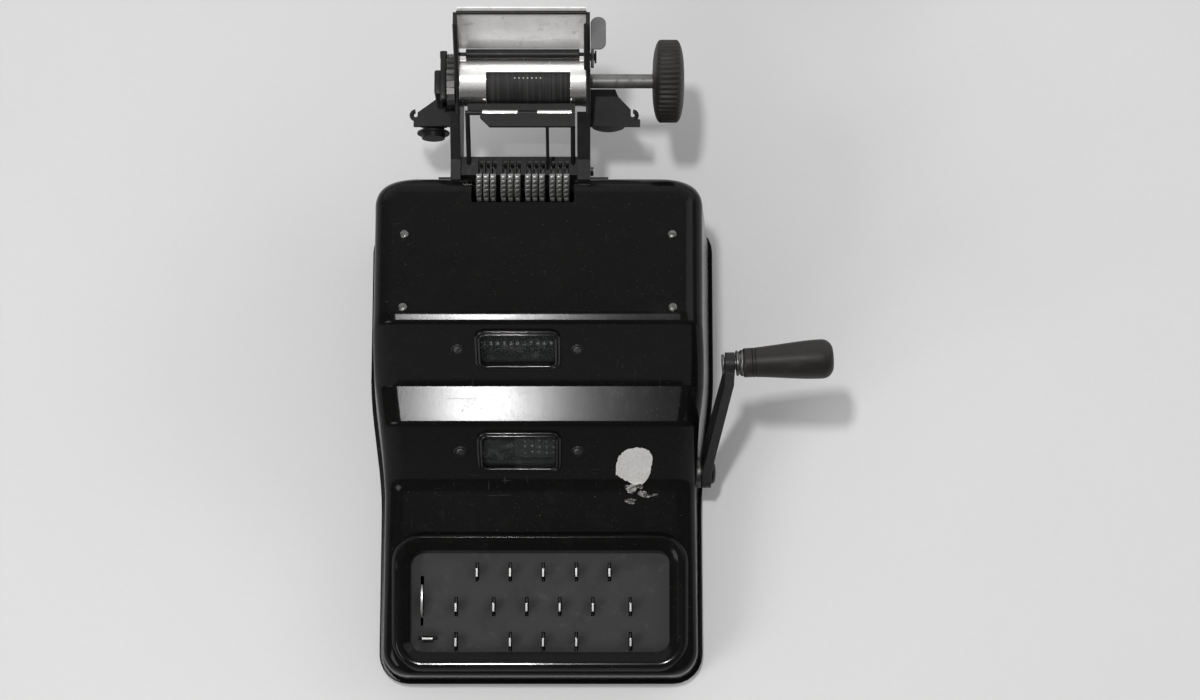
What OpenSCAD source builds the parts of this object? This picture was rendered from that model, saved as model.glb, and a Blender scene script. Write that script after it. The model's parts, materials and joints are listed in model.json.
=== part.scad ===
// Hand-cranked ten-key printing adding machine, in millimetres.
// X runs to the right, Y to the rear and Z up. The origin is on the table, in the middle of the whole.
// The modules place their pieces from the middle of the case's front wall.

/* [Case] */
// Width of the case along its base at the front
case_front_w = 207; // [203:1:211]
// Width of the case along its base at the rear
case_rear_w = 224; // [219:1:229]
// Depth of the case from its front wall to its rear wall
case_depth = 305.5; // [302:0.5:309]
// Thickness of the upright walls of the case
case_wall = 2.4; // [2:0.1:2.8]
// Height of the keyboard deck at the front wall
front_h = 40; // [39:0.5:42]
// Slope of the keyboard deck, in degrees
deck_tilt = 9; // [8.5:0.25:9.5]
// Radius of the rounded upper edges along both sides
edge_r = 15; // [13:0.5:17]
// Radius of the upright corners, seen from above
corner_r = 17; // [15:0.5:19]
// Lean of the side walls, in degrees
side_draft = 4; // [3.5:0.25:4.5]
// How far the base pan stands out from the walls
base_lip = 2.5; // [2:0.25:3]

/* [Terraces] */
// Distance from the front wall to the foot of the lower slope
lower_foot = 121.5; // [120:0.5:123]
// Depth of the lower slope
lower_run = 32; // [31:0.5:33]
// Height of the shelf at its front edge
shelf_h = 100; // [98:0.5:102]
// Depth of the shelf
shelf_depth = 24.5; // [23:0.5:26]
// Rise of the shelf from front to rear
shelf_rise = 2; // [1:0.5:3]
// Depth of the upper slope
upper_run = 30.5; // [29:0.5:32]
// Height of the peak
peak_h = 150; // [148:0.5:152]
// Fall of the rear deck from the peak to the rear wall
rear_fall = 9; // [8:0.5:10]

/* [Windows] */
// Width of the window frames
window_w = 54; // [52:0.5:56]
// Height of the window frames, measured up the slope
window_l = 34; // [32:0.5:35]
// Width of the rim around the glass
window_rim = 4; // [3.5:0.25:4.5]
// Offset of both windows from the middle of the case
window_x = -13; // [-15:0.5:-11]

/* [Keyboard] */
// Width of the key well
well_w = 167; // [165:0.5:169]
// Length of the key well, measured up the deck
well_l = 65.6; // [64.6:0.2:66.6]
// Depth of the key plate under the deck
well_depth = 9; // [8:0.25:9.5]
// Spacing of the keys in a row
key_pitch = 21.4; // [20.8:0.2:21.8]
// Spacing of the rows of keys
row_pitch = 22.4; // [21.8:0.2:22.8]
// Height of the stems above the key plate
stem_h = 9; // [8:0.25:11]
// Travel of a key
key_travel = 4; // [3:0.25:4.5]

/* [Crank] */
// Height of the crank pivot above the table
crank_h = 42; // [41:0.5:44]
// Distance from the crank pivot to the axis of the grip
crank_reach = 119; // [115:0.5:123]
// Backward lean of the crank at rest, in degrees
crank_lean = 25; // [23:0.5:27]
// Length of the grip
grip_len = 56; // [54:0.5:60]
// Backward slant of the grip, in degrees
grip_slant = 3; // [0:0.5:4]
// Diameter of the grip at its outer end
grip_d = 24.5; // [23:0.5:26]
// Diameter of the grip beside its ferrule
grip_neck_d = 18; // [17:0.5:19]

/* [Printer] */
// Offset of the printer from the middle of the case
printer_x = -10; // [-12:0.5:-8]
// Distance between the carriage plates
carriage_w = 80; // [79:0.5:82]
// Diameter of the platen
platen_d = 29; // [28:0.25:29.5]
// Height of the platen axis above the table
platen_h = 144; // [143:0.5:146]
// Diameter of the platen knob
knob_d = 52.5; // [50:0.5:54]
// Thickness of the platen knob
knob_w = 20; // [18:0.5:22]
// Reach of the type bars from their shaft to the type faces
type_reach = 48; // [47.5:0.25:48.5]
// Length of the paper table, measured up its slope
table_l = 42; // [40:0.5:44]

/* [Feet] */
// Height of the rubber feet
foot_h = 6; // [5:0.5:7]
// Diameter of the rubber feet
foot_d = 22; // [20:0.5:24]

/* [Fits] */
// Gap between a shaft and its bearing
running_gap = 0.05; // [0.04:0.01:0.08]
// Gap beside pieces that slide or swing
moving_gap = 0.4; // [0.35:0.05:0.5]

/* [Hidden] */
$fn = 48;
cut = 1;

// Case
base_t = 3;
base_z = foot_h + base_t;
roof_t = 3.6;
edge_share = 0.28;
edge_steps = 6;
corner_step = 15;
flare_start = 110;
flare_end = 202;
flare_step = 10;
station_gap = 0.3;
front_round = 8;
foot_round = 12;
shelf_front_round = 5;
shelf_rear_round = 4;
peak_round = 4;
crown_run = 6;
crown_rise = 0.7;
crown_round = 12;
rear_round = 12;
round_steps = 5;

function deck_z(y) = front_h + y * tan(deck_tilt);
lower_low = [lower_foot, deck_z(lower_foot)];
lower_high = [lower_foot + lower_run, shelf_h];
upper_low = lower_high + [shelf_depth, shelf_rise];
upper_high = [upper_low[0] + upper_run, peak_h - crown_rise];
crown_high = upper_high + [crown_run, crown_rise];
rear_high = [case_depth, peak_h - rear_fall];

// The side view of the roof, with the radius of each corner
roof_corners = [
    [[0, front_h], front_round],
    [lower_low, foot_round],
    [lower_high, shelf_front_round],
    [upper_low, shelf_rear_round],
    [upper_high, peak_round],
    [crown_high, crown_round],
    [rear_high, rear_round]
];
roof_path = concat([[0, base_z]], [for (c = roof_corners) c[0]], [[case_depth, base_z]]);

function unit(v) = v / norm(v);
function turn(a) = a > 180 ? a - 360 : a < -180 ? a + 360 : a;

// The arc of radius r that rounds the corner at p between the points a and b
function corner_arc(a, p, b, r) =
    let (
        to_a = unit(a - p),
        to_b = unit(b - p),
        half = acos(to_a * to_b) / 2,
        centre = p + unit(to_a + to_b) * r / sin(half),
        from = p + to_a * r / tan(half) - centre,
        to = p + to_b * r / tan(half) - centre,
        first = atan2(from[1], from[0]),
        sweep = turn(atan2(to[1], to[0]) - first)
    )
    [for (i = [0:round_steps])
        centre + r * [cos(first + sweep * i / round_steps), sin(first + sweep * i / round_steps)]];

roof_line = [for (i = [0:len(roof_corners) - 1])
    each corner_arc(roof_path[i], roof_path[i + 1], roof_path[i + 2], roof_corners[i][1])];

function roof_z(y) = lookup(y, roof_line);
function smooth(t) = let (s = max(0, min(1, t))) s * s * (3 - 2 * s);
function plan_half(y) =
    case_front_w / 2
    + (case_rear_w - case_front_w) / 2 * smooth((y - flare_start) / (flare_end - flare_start));
function end_inset(d, r) = d >= r ? 0 : r - sqrt(r * r - (r - d) * (r - d));
function half_width(y) = plan_half(y) - end_inset(min(y, case_depth - y), corner_r);
function side_x(y, z) = plan_half(y) - (z - base_z) * tan(side_draft);

function sorted(v) =
    len(v) < 2 ? v :
    concat(
        sorted([for (x = v) if (x < v[0]) x]),
        [v[0]],
        sorted([for (x = v) if (x > v[0]) x])
    );
function thinned(v) = [for (i = [0:len(v) - 1]) if (i == 0 || v[i] - v[i - 1] > station_gap) v[i]];
function corner_depths(low, high, r) = concat(
    [for (a = [0:corner_step:90]) low + r * (1 - cos(a))],
    [for (a = [0:corner_step:90]) high - r * (1 - cos(a))]
);
flare_depths = [for (y = [flare_start:flare_step:flare_end]) y];
all_depths = sorted(concat([for (p = roof_line) p[0]], flare_depths, corner_depths(0, case_depth, corner_r)));
function case_depths(inset) = thinned(concat(
    [inset],
    [for (y = all_depths) if (y > inset + station_gap && y < case_depth - inset - station_gap) y],
    [case_depth - inset]
));

// One upright slice across the case, from the right foot over the roof to the left foot
function case_slice(y, wall, roof, drop) =
    let (
        top = roof_z(y) - roof,
        low = base_z - drop,
        r = max(2, min(edge_r, (roof_z(y) - base_z) * edge_share) - wall),
        foot = half_width(y) - wall + drop * tan(side_draft),
        shoulder = foot - (top - r - low) * tan(side_draft),
        side = concat(
            [[foot, low]],
            [for (i = [0:edge_steps])
                [shoulder - r + r * cos(90 * i / edge_steps), top - r + r * sin(90 * i / edge_steps)]]
        ),
        last = len(side) - 1
    )
    concat(
        [for (p = side) [p[0], y, p[1]]],
        [for (i = [0:last]) [-side[last - i][0], y, side[last - i][1]]]
    );

module case_solid(wall, roof, drop) {
    depths = case_depths(wall);
    rows = len(depths);
    points = [for (y = depths) each case_slice(y, wall, roof, drop)];
    count = len(points) / rows;
    sides = [for (i = [0:rows - 2], j = [0:count - 1])
        let (
            a = i * count + j,
            b = i * count + (j + 1) % count
        )
        each [[a, b, a + count], [b, b + count, a + count]]];
    front = [for (j = [0:count - 1]) count - 1 - j];
    rear = [for (j = [0:count - 1]) (rows - 1) * count + j];
    polyhedron(points = points, faces = concat([front], sides, [rear]));
}

// Windows
lower_angle = atan2(lower_high[1] - lower_low[1], lower_run);
upper_angle = atan2(upper_high[1] - upper_low[1], upper_run);
lower_share = 0.55;
upper_share = 0.58;
lower_mid = lower_low + (lower_high - lower_low) * lower_share;
upper_mid = upper_low + (upper_high - upper_low) * upper_share;
window_r = 5;
flange_t = 1.6;
flange_step = 2;
skirt_depth = 6;
pane_t = 1.5;
pane_ledge = 1;
pane_drop = 1.5;
pane_gap = 0.1;
seat_gap = 0.2;
window_screw_out = 10.5;

// Keyboard
key_mid_y = 47;
bead_w = 12;
bead_h = 4;
bead_foot = 1;
bezel_wall = 2;
well_r = 8;
plate_t = 1.5;
plate_margin = 6;
key_mid_x = 2;
outer_key_x = 56.4;
first_row = 18.6;
stem_t = 1.4;
stem_top_l = 5.5;
stem_low_l = 11.4;
slot_w = stem_t + 2 * moving_gap;
slot_l = stem_low_l + 2 * moving_gap;
shoulder_l = 15;
shoulder_t = 1.5;
guide_spare = 4.6;
guide_drop = plate_t + moving_gap + shoulder_t + key_travel + guide_spare;
post_d = 6;
post_inset = 3;
stem_below = 4;
spring_t = 1;
spring_w = 5;
spring_bar = 5;
spring_back = 11;
plate_h = -well_depth;
guide_h = plate_h - guide_drop;
stem_foot_h = guide_h - plate_t - stem_below;
stem_sink = 1;
spring_gap = 0.05;
spring_h = stem_foot_h - spring_gap;
spring_side_x = [-66, 70];

row_counts = [5, 6, 5];
function row_key_x(row, i) =
    let (
        last = row_counts[row] - 1,
        outer = row > 0
    )
    outer && i == 0 ? key_mid_x - outer_key_x :
    outer && i == last ? key_mid_x + outer_key_x :
    key_mid_x + (i - last / 2) * key_pitch;
key_spots = [for (row = [0:2], i = [0:row_counts[row] - 1])
    [row_key_x(row, i), first_row - row * row_pitch]];

tab_x = -72.6;
tab_y = -24;
tab_top_l = 7;
lever_x = -76.4;
lever_r = 26.5;
lever_inner_r = 13;
lever_drop = 20;
lever_half = 24;
lever_swing = 14;
lever_hub_r = 4;
lever_pin_d = 4;
lever_ear_t = 2;
lever_axis_h = plate_h - lever_drop;
lever_slot_l = 2 * (lever_drop * tan(lever_half + lever_swing) + moving_gap);

// Frames and the counting work
frame_t = 3;
frame_left = 50;
frame_right = 63;
left_frame_x = window_x - frame_left;
right_frame_x = window_x + frame_right;
frame_front = 6;
frame_clear = 6;
frame_rear_drop = 30;
rod_d = 6;
rod_end = 3;
wheel_count = 11;
wheel_pitch = 4.2;
wheel_t = 3.6;
wheel_r = 13;
wheel_drop = 6;
register_mid = upper_mid + (wheel_drop + wheel_r) * [sin(upper_angle), -cos(upper_angle)];
index_w = 50;
index_l = 24;
index_t = 12;
index_drop = 8;
index_rail_gap = 14;
index_rest_x = 22;
index_mid = lower_mid + (index_drop + index_t / 2) * [sin(lower_angle), -cos(lower_angle)];
rail_spots = [for (side = [-1, 1])
    index_mid + side * index_rail_gap / 2 * [cos(lower_angle), sin(lower_angle)]];
tie_h = 8;
tie_in = 20;
tie_top_in = 40;
tie_top_drop = 40;
rod_spots = [register_mid, [lower_foot, base_z + tie_h], [case_depth - tie_in, base_z + tie_h],
    [case_depth - tie_top_in, peak_h - tie_top_drop]];

// Crank
crank_back = 10.5;
crank_y = lower_foot + crank_back;
crank_shaft_d = 12;
bush_d = 20;
bush_proud = 2;
bush_inner = 6;
hub_r = 10;
hub_gap = 0.6;
arm_t = 6;
arm_lean_x = 11;
arm_end_r = 7;
arm_bend = 14;
arm_taper = 0.3;
wall_x = side_x(crank_y, crank_h);
arm_hub_x = wall_x + bush_proud + hub_gap;
arm_top_x = arm_hub_x + arm_lean_x;
spindle_d = 8;
spindle_head_d = 12;
spindle_head_t = 1.5;
ferrule_t = 4.3;
ferrule_d = 16;
grip_pivot_x = arm_top_x + arm_t / 2;
slant_clear = 0.05;
head_room = slant_room(spindle_head_d) + slant_clear;
grip_x = arm_top_x + arm_t + moving_gap + slant_room(ferrule_d) + ferrule_t;
grip_end_r = 7;
grip_steps = 8;
grip_arc_step = 15;
spindle_l = grip_x + grip_len - 2 * grip_end_r - arm_top_x;
shaft_proud = 2;
cam_r = 11;
cam_t = 5;
cam_x = [-40, 30];

// Printer
plate_w = 2.5;
left_plate_x = printer_x - carriage_w / 2 - plate_w;
right_plate_x = printer_x + carriage_w / 2;
type_out = 14;
platen_out = 47;
platen_up = 44;
type_y = case_depth + type_out;
type_z = platen_h - platen_up;
platen_y = type_y + platen_out;
type_shaft_d = 6;
type_head_l = 10;
type_head_w = 3.8;
type_arm_w = 2.2;
type_arm_l = 7;
type_hub_r = 6.5;
type_rest = 118.5;
type_span = 22;
type_pitch = 4.4;
type_cluster = 15.4;
type_offsets = [for (c = [-1.5:1:1.5], k = [-1:1]) c * type_cluster + k * type_pitch];
notch_side = 3;
notch_half = 1.5 * type_cluster + type_pitch + type_head_w / 2 + notch_side;
notch_depth = 18;
notch_low = 6;
comb_front = 8.5;
comb_rear = 3.5;
comb_low = 15;
comb_high = 22;
comb_floor = 9;
comb_shelf_l = 9;
comb_shelf_t = 1.5;
comb_slot = type_arm_w + 2 * moving_gap;

platen_play = 3;
platen_shaft_d = 9;
shield_gap = 0.9;
shield_t = 0.9;
shield_rear_angle = 12;
shield_front_angle = 195;
shield_open_angle = 86;
shield_left = 17;
shield_right = 10;
knob_out = 39.5;
knob_x = right_plate_x + plate_w + knob_out;
knob_shoulder = 18;
knob_shoulder_w = 5;
knob_shoulder_step = 22.5;
knob_rim_step = 0.4;
knob_flutes = 48;
knob_flute_depth = 0.7;
knob_body_r = knob_d / 2 - knob_flute_depth - knob_rim_step;
flute_steps = 4;
knob_dish_d = 13.5;
knob_dish = 1.5;
ratchet_r = 17.5;
ratchet_teeth = 24;
ratchet_depth = 1.6;
ratchet_t = 5;
ratchet_x = left_plate_x - moving_gap - ratchet_t;
shaft_tail = 3;
table_lean = 18.5;
table_t = 1.2;
table_gap = 0.4;
table_up = 15;
table_foot = [platen_y + platen_d / 2 + shield_gap + shield_t + table_gap, platen_h + table_up];
table_far = table_foot[0] + table_l * sin(table_lean) + table_t * cos(table_lean);
table_top = table_foot[1] + table_l * cos(table_lean);

flange_w = 14;
flange_low = 62;
flange_high = 128;
plate_low = 88;
boss_r = 13;
table_margin = 4;
table_band = 8;
left_lip_w = 3.9;
right_lip_w = 5.8;
lip_t = 2;
lip_share = 0.78;

bar_out = 15.5;
bar_y = type_y + bar_out;
bar_l = 8.5;
bar_t = 3;
bar_clear = 1.8;
bar_z = type_z + sqrt(type_reach * type_reach - bar_out * bar_out) + bar_clear;
bar_rod_d = 3;
bar_left = 13;
bar_right = 7;
bar_reach = 8;
bar_chamfer = 6;
guide_post_w = 2;
guide_post_l = 5;
guide_apron_l = 5.9;
guide_apron_t = 1;

bracket_clear = 7.5;
bracket_z = platen_h - ratchet_r - bracket_clear;
bracket_t = 3;
bracket_front = 22;
bracket_y = platen_y - bracket_front;
bracket_l = 24.5;
bracket_w = 26;
bracket_neck = 19.5;
bracket_top_in = 2;
left_bracket_tip = 9;
left_bracket_slant = 14;
left_bracket_toe = 2.5;
right_bracket_tip = 11;
right_bracket_slant = 8;
right_bracket_toe = 6;
bracket_toe_l = 4.5;
bracket_wall = 9;
bracket_foot = 6;
wall_l = 2.5;
spool_d = 21;
left_spool_w = 7.4;
right_spool_w = 2.8;
spool_core_d = 14;
spool_flange_t = 1.2;
spool_pin_d = 5;
spool_side = 1;
left_spool_out = 16.5;
right_spool_out = spool_d / 2 + spool_side;
spool_z = bracket_z - bracket_t - spool_d / 2 - spool_side;
nut_d = 15;
left_nut_l = 3;
right_nut_l = 1.2;
hook_r = 2.6;
hook_d = 2.8;
hook_y = 7.5;
hook_sweep = 235;
hook_turn = -150;

release_back = 11;
release_up = 16;
release_y = platen_y + release_back;
release_z = platen_h + release_up;
release_t = 2;
release_l = 7;
release_h = 27;
release_pad_w = 9.5;
release_pad_l = 21;
release_pad_front = 3.5;
release_pin_d = 5;
release_head_d = 8;
release_head_t = 1.2;
release_gap = 0.4;

// Screws and feet
screw_head_d = 5.5;
screw_head_t = 1.6;
screw_d = 3;
screw_l = 7;
cover_screw_in = 13;
cover_screw_x = case_rear_w / 2 - edge_r - cover_screw_in;
cover_screw_back = [9.5, 57.5];
cover_screw_y = [for (b = cover_screw_back) upper_high[0] + b];
flange_screw_z = [72, 118];
foot_inset = 24;

// The middle of the whole
left_reach = case_rear_w / 2 + base_lip;
right_reach = grip_pivot_x + (grip_x + grip_len - grip_pivot_x) * cos(grip_slant)
    + (grip_d / 2 - grip_end_r) * sin(grip_slant);
front_reach = base_lip;
rear_reach = max(table_far, platen_y + knob_d / 2);
mid_x = (right_reach - left_reach) / 2;
mid_y = (rear_reach - front_reach) / 2;

enamel = [0.09, 0.09, 0.1];
steel = [0.62, 0.62, 0.64];
nickel = [0.75, 0.74, 0.7];
dark_steel = [0.25, 0.25, 0.27];
grey_paint = [0.5, 0.5, 0.5];
rubber = [0.13, 0.13, 0.13];
ebonite = [0.12, 0.1, 0.09];
glass = [0.75, 0.82, 0.82, 0.4];

module place() {
    translate([-mid_x, -mid_y, 0])
        children();
}

// Draws in the YZ plane and extrudes towards +X
module along_x(x, y = 0, z = 0) {
    translate([x, y, z])
        rotate([90, 0, 90])
            children();
}

module rod_x(x, l, y, z, d) {
    along_x(x, y, z)
        cylinder(h = l, d = d);
}

module on_deck() {
    translate([0, key_mid_y, deck_z(key_mid_y)])
        rotate([deck_tilt, 0, 0])
            children();
}

module on_lower_slope() {
    translate([window_x, lower_mid[0], lower_mid[1]])
        rotate([lower_angle, 0, 0])
            children();
}

module on_upper_slope() {
    translate([window_x, upper_mid[0], upper_mid[1]])
        rotate([upper_angle, 0, 0])
            children();
}

module on_slopes() {
    on_lower_slope()
        children();
    on_upper_slope()
        children();
}

module rounded_rect(w, l, r) {
    square([w - 2 * r, l], center = true);
    square([w, l - 2 * r], center = true);
    for (x = [-1, 1], y = [-1, 1])
        translate([x * (w / 2 - r), y * (l / 2 - r)])
            circle(r);
}

module pillow(w, l, r, low, high) {
    translate([0, 0, low])
        linear_extrude(high - low)
            rounded_rect(w, l, r);
}

// Chassis and case
module plan_outline(lip) {
    r = corner_r + lip;
    depths = sorted(concat(corner_depths(-lip, case_depth + lip, r), flare_depths));
    right = [for (y = depths)
        [plan_half(y) + lip - end_inset(min(y + lip, case_depth + lip - y), r), y]];
    last = len(right) - 1;
    polygon(concat(right, [for (i = [0:last]) [-right[last - i][0], right[last - i][1]]]));
}

module base_pan() {
    color(enamel)
        place()
            translate([0, 0, foot_h])
                linear_extrude(base_t)
                    plan_outline(base_lip);
}

module foot_spots() {
    for (x = [-1, 1], y = [foot_inset, case_depth - foot_inset])
        translate([x * (plan_half(y) - foot_inset), y, 0])
            children();
}

module feet() {
    color(rubber)
        place()
            foot_spots()
                cylinder(h = foot_h, d = foot_d);
}

module window_holes() {
    hole_w = window_w - 2 * flange_step + 2 * seat_gap;
    hole_l = window_l - 2 * flange_step + 2 * seat_gap;
    on_slopes()
        pillow(hole_w, hole_l, window_r - flange_step, -skirt_depth, cut);
}

module key_well_hole() {
    side = 2 * (bezel_wall + seat_gap);
    on_deck()
        pillow(well_w + side, well_l + side, well_r + bezel_wall, -skirt_depth, cut);
}

module type_notch() {
    translate([printer_x - notch_half, case_depth - notch_depth, type_z + notch_low])
        cube([2 * notch_half, notch_depth + cut, peak_h]);
}

module screw_hole() {
    translate([0, 0, -screw_l])
        cylinder(h = screw_l + cut, d = screw_d);
}

module window_screw_spots() {
    on_slopes()
        for (x = [-1, 1])
            translate([x * (window_w / 2 + window_screw_out), 0, 0])
                children();
}

module cover_screw_spots() {
    for (x = [-1, 1], y = cover_screw_y)
        translate([x * cover_screw_x, y, roof_z(y)])
            rotate([atan2(rear_high[1] - peak_h, case_depth - crown_high[0]), 0, 0])
                children();
}

module flange_screw_spots() {
    for (x = [left_plate_x + plate_w - flange_w / 2, right_plate_x + flange_w / 2], z = flange_screw_z)
        translate([x, case_depth + plate_w, z])
            rotate([-90, 0, 0])
                children();
}

module case_cover() {
    color(enamel)
        place()
            difference() {
                case_solid(0, 0, 0);
                case_solid(case_wall, roof_t, cut);
                window_holes();
                key_well_hole();
                type_notch();
                rod_x(0, case_rear_w, crank_y, crank_h, bush_d + 2 * seat_gap);
                window_screw_spots()
                    screw_hole();
                cover_screw_spots()
                    screw_hole();
                flange_screw_spots()
                    screw_hole();
            }
}

module screw() {
    cylinder(h = screw_head_t, d = screw_head_d);
    translate([0, 0, -screw_l])
        cylinder(h = screw_l, d = screw_d);
}

module screws() {
    color(nickel)
        place() {
            window_screw_spots()
                screw();
            cover_screw_spots()
                screw();
            flange_screw_spots()
                screw();
        }
}

module window_frames() {
    pane_w = window_w - 2 * window_rim;
    pane_l = window_l - 2 * window_rim;
    color(enamel)
        place()
            on_slopes()
                difference() {
                    union() {
                        pillow(window_w, window_l, window_r, 0, flange_t);
                        pillow(window_w - 2 * flange_step, window_l - 2 * flange_step, window_r - flange_step,
                            -skirt_depth, flange_t);
                    }
                    pillow(pane_w, pane_l, window_r - flange_step, -skirt_depth - cut, flange_t + cut);
                    pillow(pane_w + 2 * pane_ledge, pane_l + 2 * pane_ledge, window_r - flange_step,
                        -skirt_depth - cut, -pane_drop);
                }
}

module window_panes() {
    side = 2 * (pane_ledge - pane_gap - window_rim);
    color(glass)
        place()
            on_slopes()
                pillow(window_w + side, window_l + side, window_r - flange_step,
                    -pane_drop - pane_t, -pane_drop);
}

// Keyboard
module bead_profile() {
    arch_r = (bead_w * bead_w / 4 + bead_h * bead_h) / (2 * bead_h);
    intersection() {
        translate([bead_w / 2, bead_h - arch_r])
            circle(arch_r);
        square([bead_w, bead_h]);
    }
    translate([0, -well_depth])
        square([bezel_wall, well_depth + bead_foot]);
}

module key_bezel() {
    straight_w = well_w - 2 * well_r;
    straight_l = well_l - 2 * well_r;
    color(enamel)
        place()
            on_deck()
                for (side = [0:3])
                    rotate(90 * side) {
                        half_l = (side % 2 == 0 ? straight_w : straight_l) / 2;
                        half_w = (side % 2 == 0 ? straight_l : straight_w) / 2;
                        translate([half_l, half_w, 0])
                            rotate_extrude(angle = 90)
                                translate([well_r, 0])
                                    bead_profile();
                        along_x(-half_l, half_w + well_r)
                            linear_extrude(2 * half_l)
                                bead_profile();
                    }
}

module key_slots(low, high) {
    for (spot = key_spots)
        translate([spot[0] - slot_w / 2, spot[1] - slot_l / 2, low])
            cube([slot_w, slot_l, high - low]);
    translate([tab_x - slot_l / 2, tab_y - slot_w / 2, low])
        cube([slot_l, slot_w, high - low]);
    translate([lever_x - slot_w / 2, -lever_slot_l / 2, low])
        cube([slot_w, lever_slot_l, high - low]);
}

module key_plate() {
    color(grey_paint)
        place()
            on_deck()
                difference() {
                    pillow(well_w + plate_margin, well_l + plate_margin, well_r, plate_h - plate_t, plate_h);
                    key_slots(plate_h - plate_t - cut, plate_h + cut);
                }
}

module guide_posts() {
    for (x = [-1, 1], y = [-1, 1])
        translate([x * (well_w / 2 - post_inset), y * (well_l / 2 - post_inset), guide_h])
            cylinder(h = guide_drop - plate_t, d = post_d);
}

module lever_ears() {
    ear_h = lever_drop - guide_drop + lever_hub_r;
    for (x = [lever_x - slot_w / 2 - lever_ear_t, lever_x + slot_w / 2])
        translate([x, -lever_hub_r, guide_h - ear_h])
            cube([lever_ear_t, 2 * lever_hub_r, ear_h]);
    rod_x(lever_x - slot_w / 2, slot_w, 0, lever_axis_h, lever_pin_d);
}

module key_guide() {
    color(dark_steel)
        place()
            on_deck() {
                difference() {
                    pillow(well_w + plate_margin, well_l + plate_margin, well_r, guide_h - plate_t, guide_h);
                    key_slots(guide_h - plate_t - cut, guide_h + cut);
                }
                guide_posts();
                lever_ears();
            }
}

module spring_finger(x, row_y) {
    translate([x - spring_w / 2, row_y - spring_w / 2, spring_h - spring_t])
        cube([spring_w, spring_back + spring_w / 2, spring_t]);
}

module key_spring_comb() {
    last_y = first_row - 2 * row_pitch;
    side_l = 2 * row_pitch + spring_bar;
    color(steel)
        place()
            on_deck() {
                for (spot = key_spots)
                    spring_finger(spot[0], spot[1]);
                spring_finger(tab_x, last_y);
                for (row = [0:2])
                    translate([spring_side_x[0], first_row - row * row_pitch + spring_back,
                        spring_h - spring_t])
                        cube([spring_side_x[1] - spring_side_x[0], spring_bar, spring_t]);
                translate([tab_x - spring_w / 2, last_y + spring_back, spring_h - spring_t])
                    cube([spring_side_x[0] - tab_x + spring_w, spring_bar, spring_t]);
                for (x = spring_side_x)
                    translate([x - spring_bar / 2, last_y + spring_back, 0]) {
                        translate([0, 0, spring_h - spring_t])
                            cube([spring_bar, side_l, spring_t]);
                        for (y = [spring_bar / 2, side_l - spring_bar / 2])
                            translate([spring_bar / 2, y, spring_h - spring_t])
                                cylinder(h = stem_below + spring_gap + spring_t, d = spring_bar);
                    }
            }
}

module stem(top_l) {
    translate([-stem_t / 2, -top_l / 2, plate_h - plate_t])
        cube([stem_t, top_l, stem_h + plate_t]);
    translate([-stem_t / 2, -stem_low_l / 2, stem_foot_h])
        cube([stem_t, stem_low_l, plate_h - stem_sink - stem_foot_h]);
    translate([-stem_t / 2, -shoulder_l / 2, plate_h - plate_t - moving_gap - shoulder_t])
        cube([stem_t, shoulder_l, shoulder_t]);
}

module key(i) {
    color(nickel)
        place()
            on_deck()
                translate(key_spots[i])
                    stem(stem_top_l);
}

module correction_key() {
    color(nickel)
        place()
            on_deck()
                translate([tab_x, tab_y, 0])
                    rotate(90)
                        stem(tab_top_l);
}

module repeat_lever() {
    far = 2 * lever_r;
    color(nickel)
        place()
            on_deck()
                along_x(lever_x - stem_t / 2, 0, lever_axis_h)
                    linear_extrude(stem_t)
                        difference() {
                            union() {
                                circle(lever_hub_r);
                                intersection() {
                                    circle(lever_r);
                                    polygon([[0, 0], far * [sin(lever_half), cos(lever_half)],
                                        far * [-sin(lever_half), cos(lever_half)]]);
                                }
                            }
                            circle(d = lever_pin_d + 2 * running_gap);
                        }
}

// Frames and the counting work
module frame_outline() {
    inward = [frame_clear, -frame_clear];
    front_y = lower_foot - frame_front;
    polygon([
        [front_y, base_z],
        [front_y, lower_low[1] - frame_clear],
        lower_low + inward,
        lower_high + inward,
        upper_low + inward,
        upper_high + inward,
        [case_depth - case_wall, rear_high[1] - frame_rear_drop],
        [case_depth - case_wall, base_z]
    ]);
}

module frame_plate(x) {
    along_x(x)
        linear_extrude(frame_t)
            difference() {
                frame_outline();
                for (p = concat(rod_spots, rail_spots))
                    translate(p)
                        circle(d = rod_d + 2 * running_gap);
                translate([crank_y, crank_h])
                    circle(d = crank_shaft_d + 2 * running_gap);
            }
}

module left_frame() {
    color(steel)
        place()
            frame_plate(left_frame_x);
}

module right_frame() {
    color(steel)
        place()
            frame_plate(right_frame_x);
}

module frame_rods(spots) {
    for (p = spots)
        rod_x(left_frame_x - rod_end, right_frame_x - left_frame_x + frame_t + 2 * rod_end,
            p[0], p[1], rod_d);
}

module cross_rods() {
    color(steel)
        place()
            frame_rods(rod_spots);
}

module index_rails() {
    color(steel)
        place()
            frame_rods(rail_spots);
}

module index_carriage() {
    middle = -index_drop - index_t / 2;
    color(dark_steel)
        place()
            on_lower_slope()
                translate([index_rest_x, 0, middle])
                    difference() {
                        cube([index_w, index_l, index_t], center = true);
                        for (y = [-1, 1])
                            rod_x(-index_w, 2 * index_w, y * index_rail_gap / 2, 0, rod_d + 2 * running_gap);
                    }
}

module result_wheels() {
    color(enamel)
        place()
            for (i = [0:wheel_count - 1])
                along_x(window_x + (i - (wheel_count - 1) / 2) * wheel_pitch - wheel_t / 2, register_mid[0],
                    register_mid[1])
                    difference() {
                        cylinder(h = wheel_t, r = wheel_r);
                        translate([0, 0, -cut])
                            cylinder(h = wheel_t + 2 * cut, d = rod_d + 2 * running_gap);
                    }
}

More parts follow.
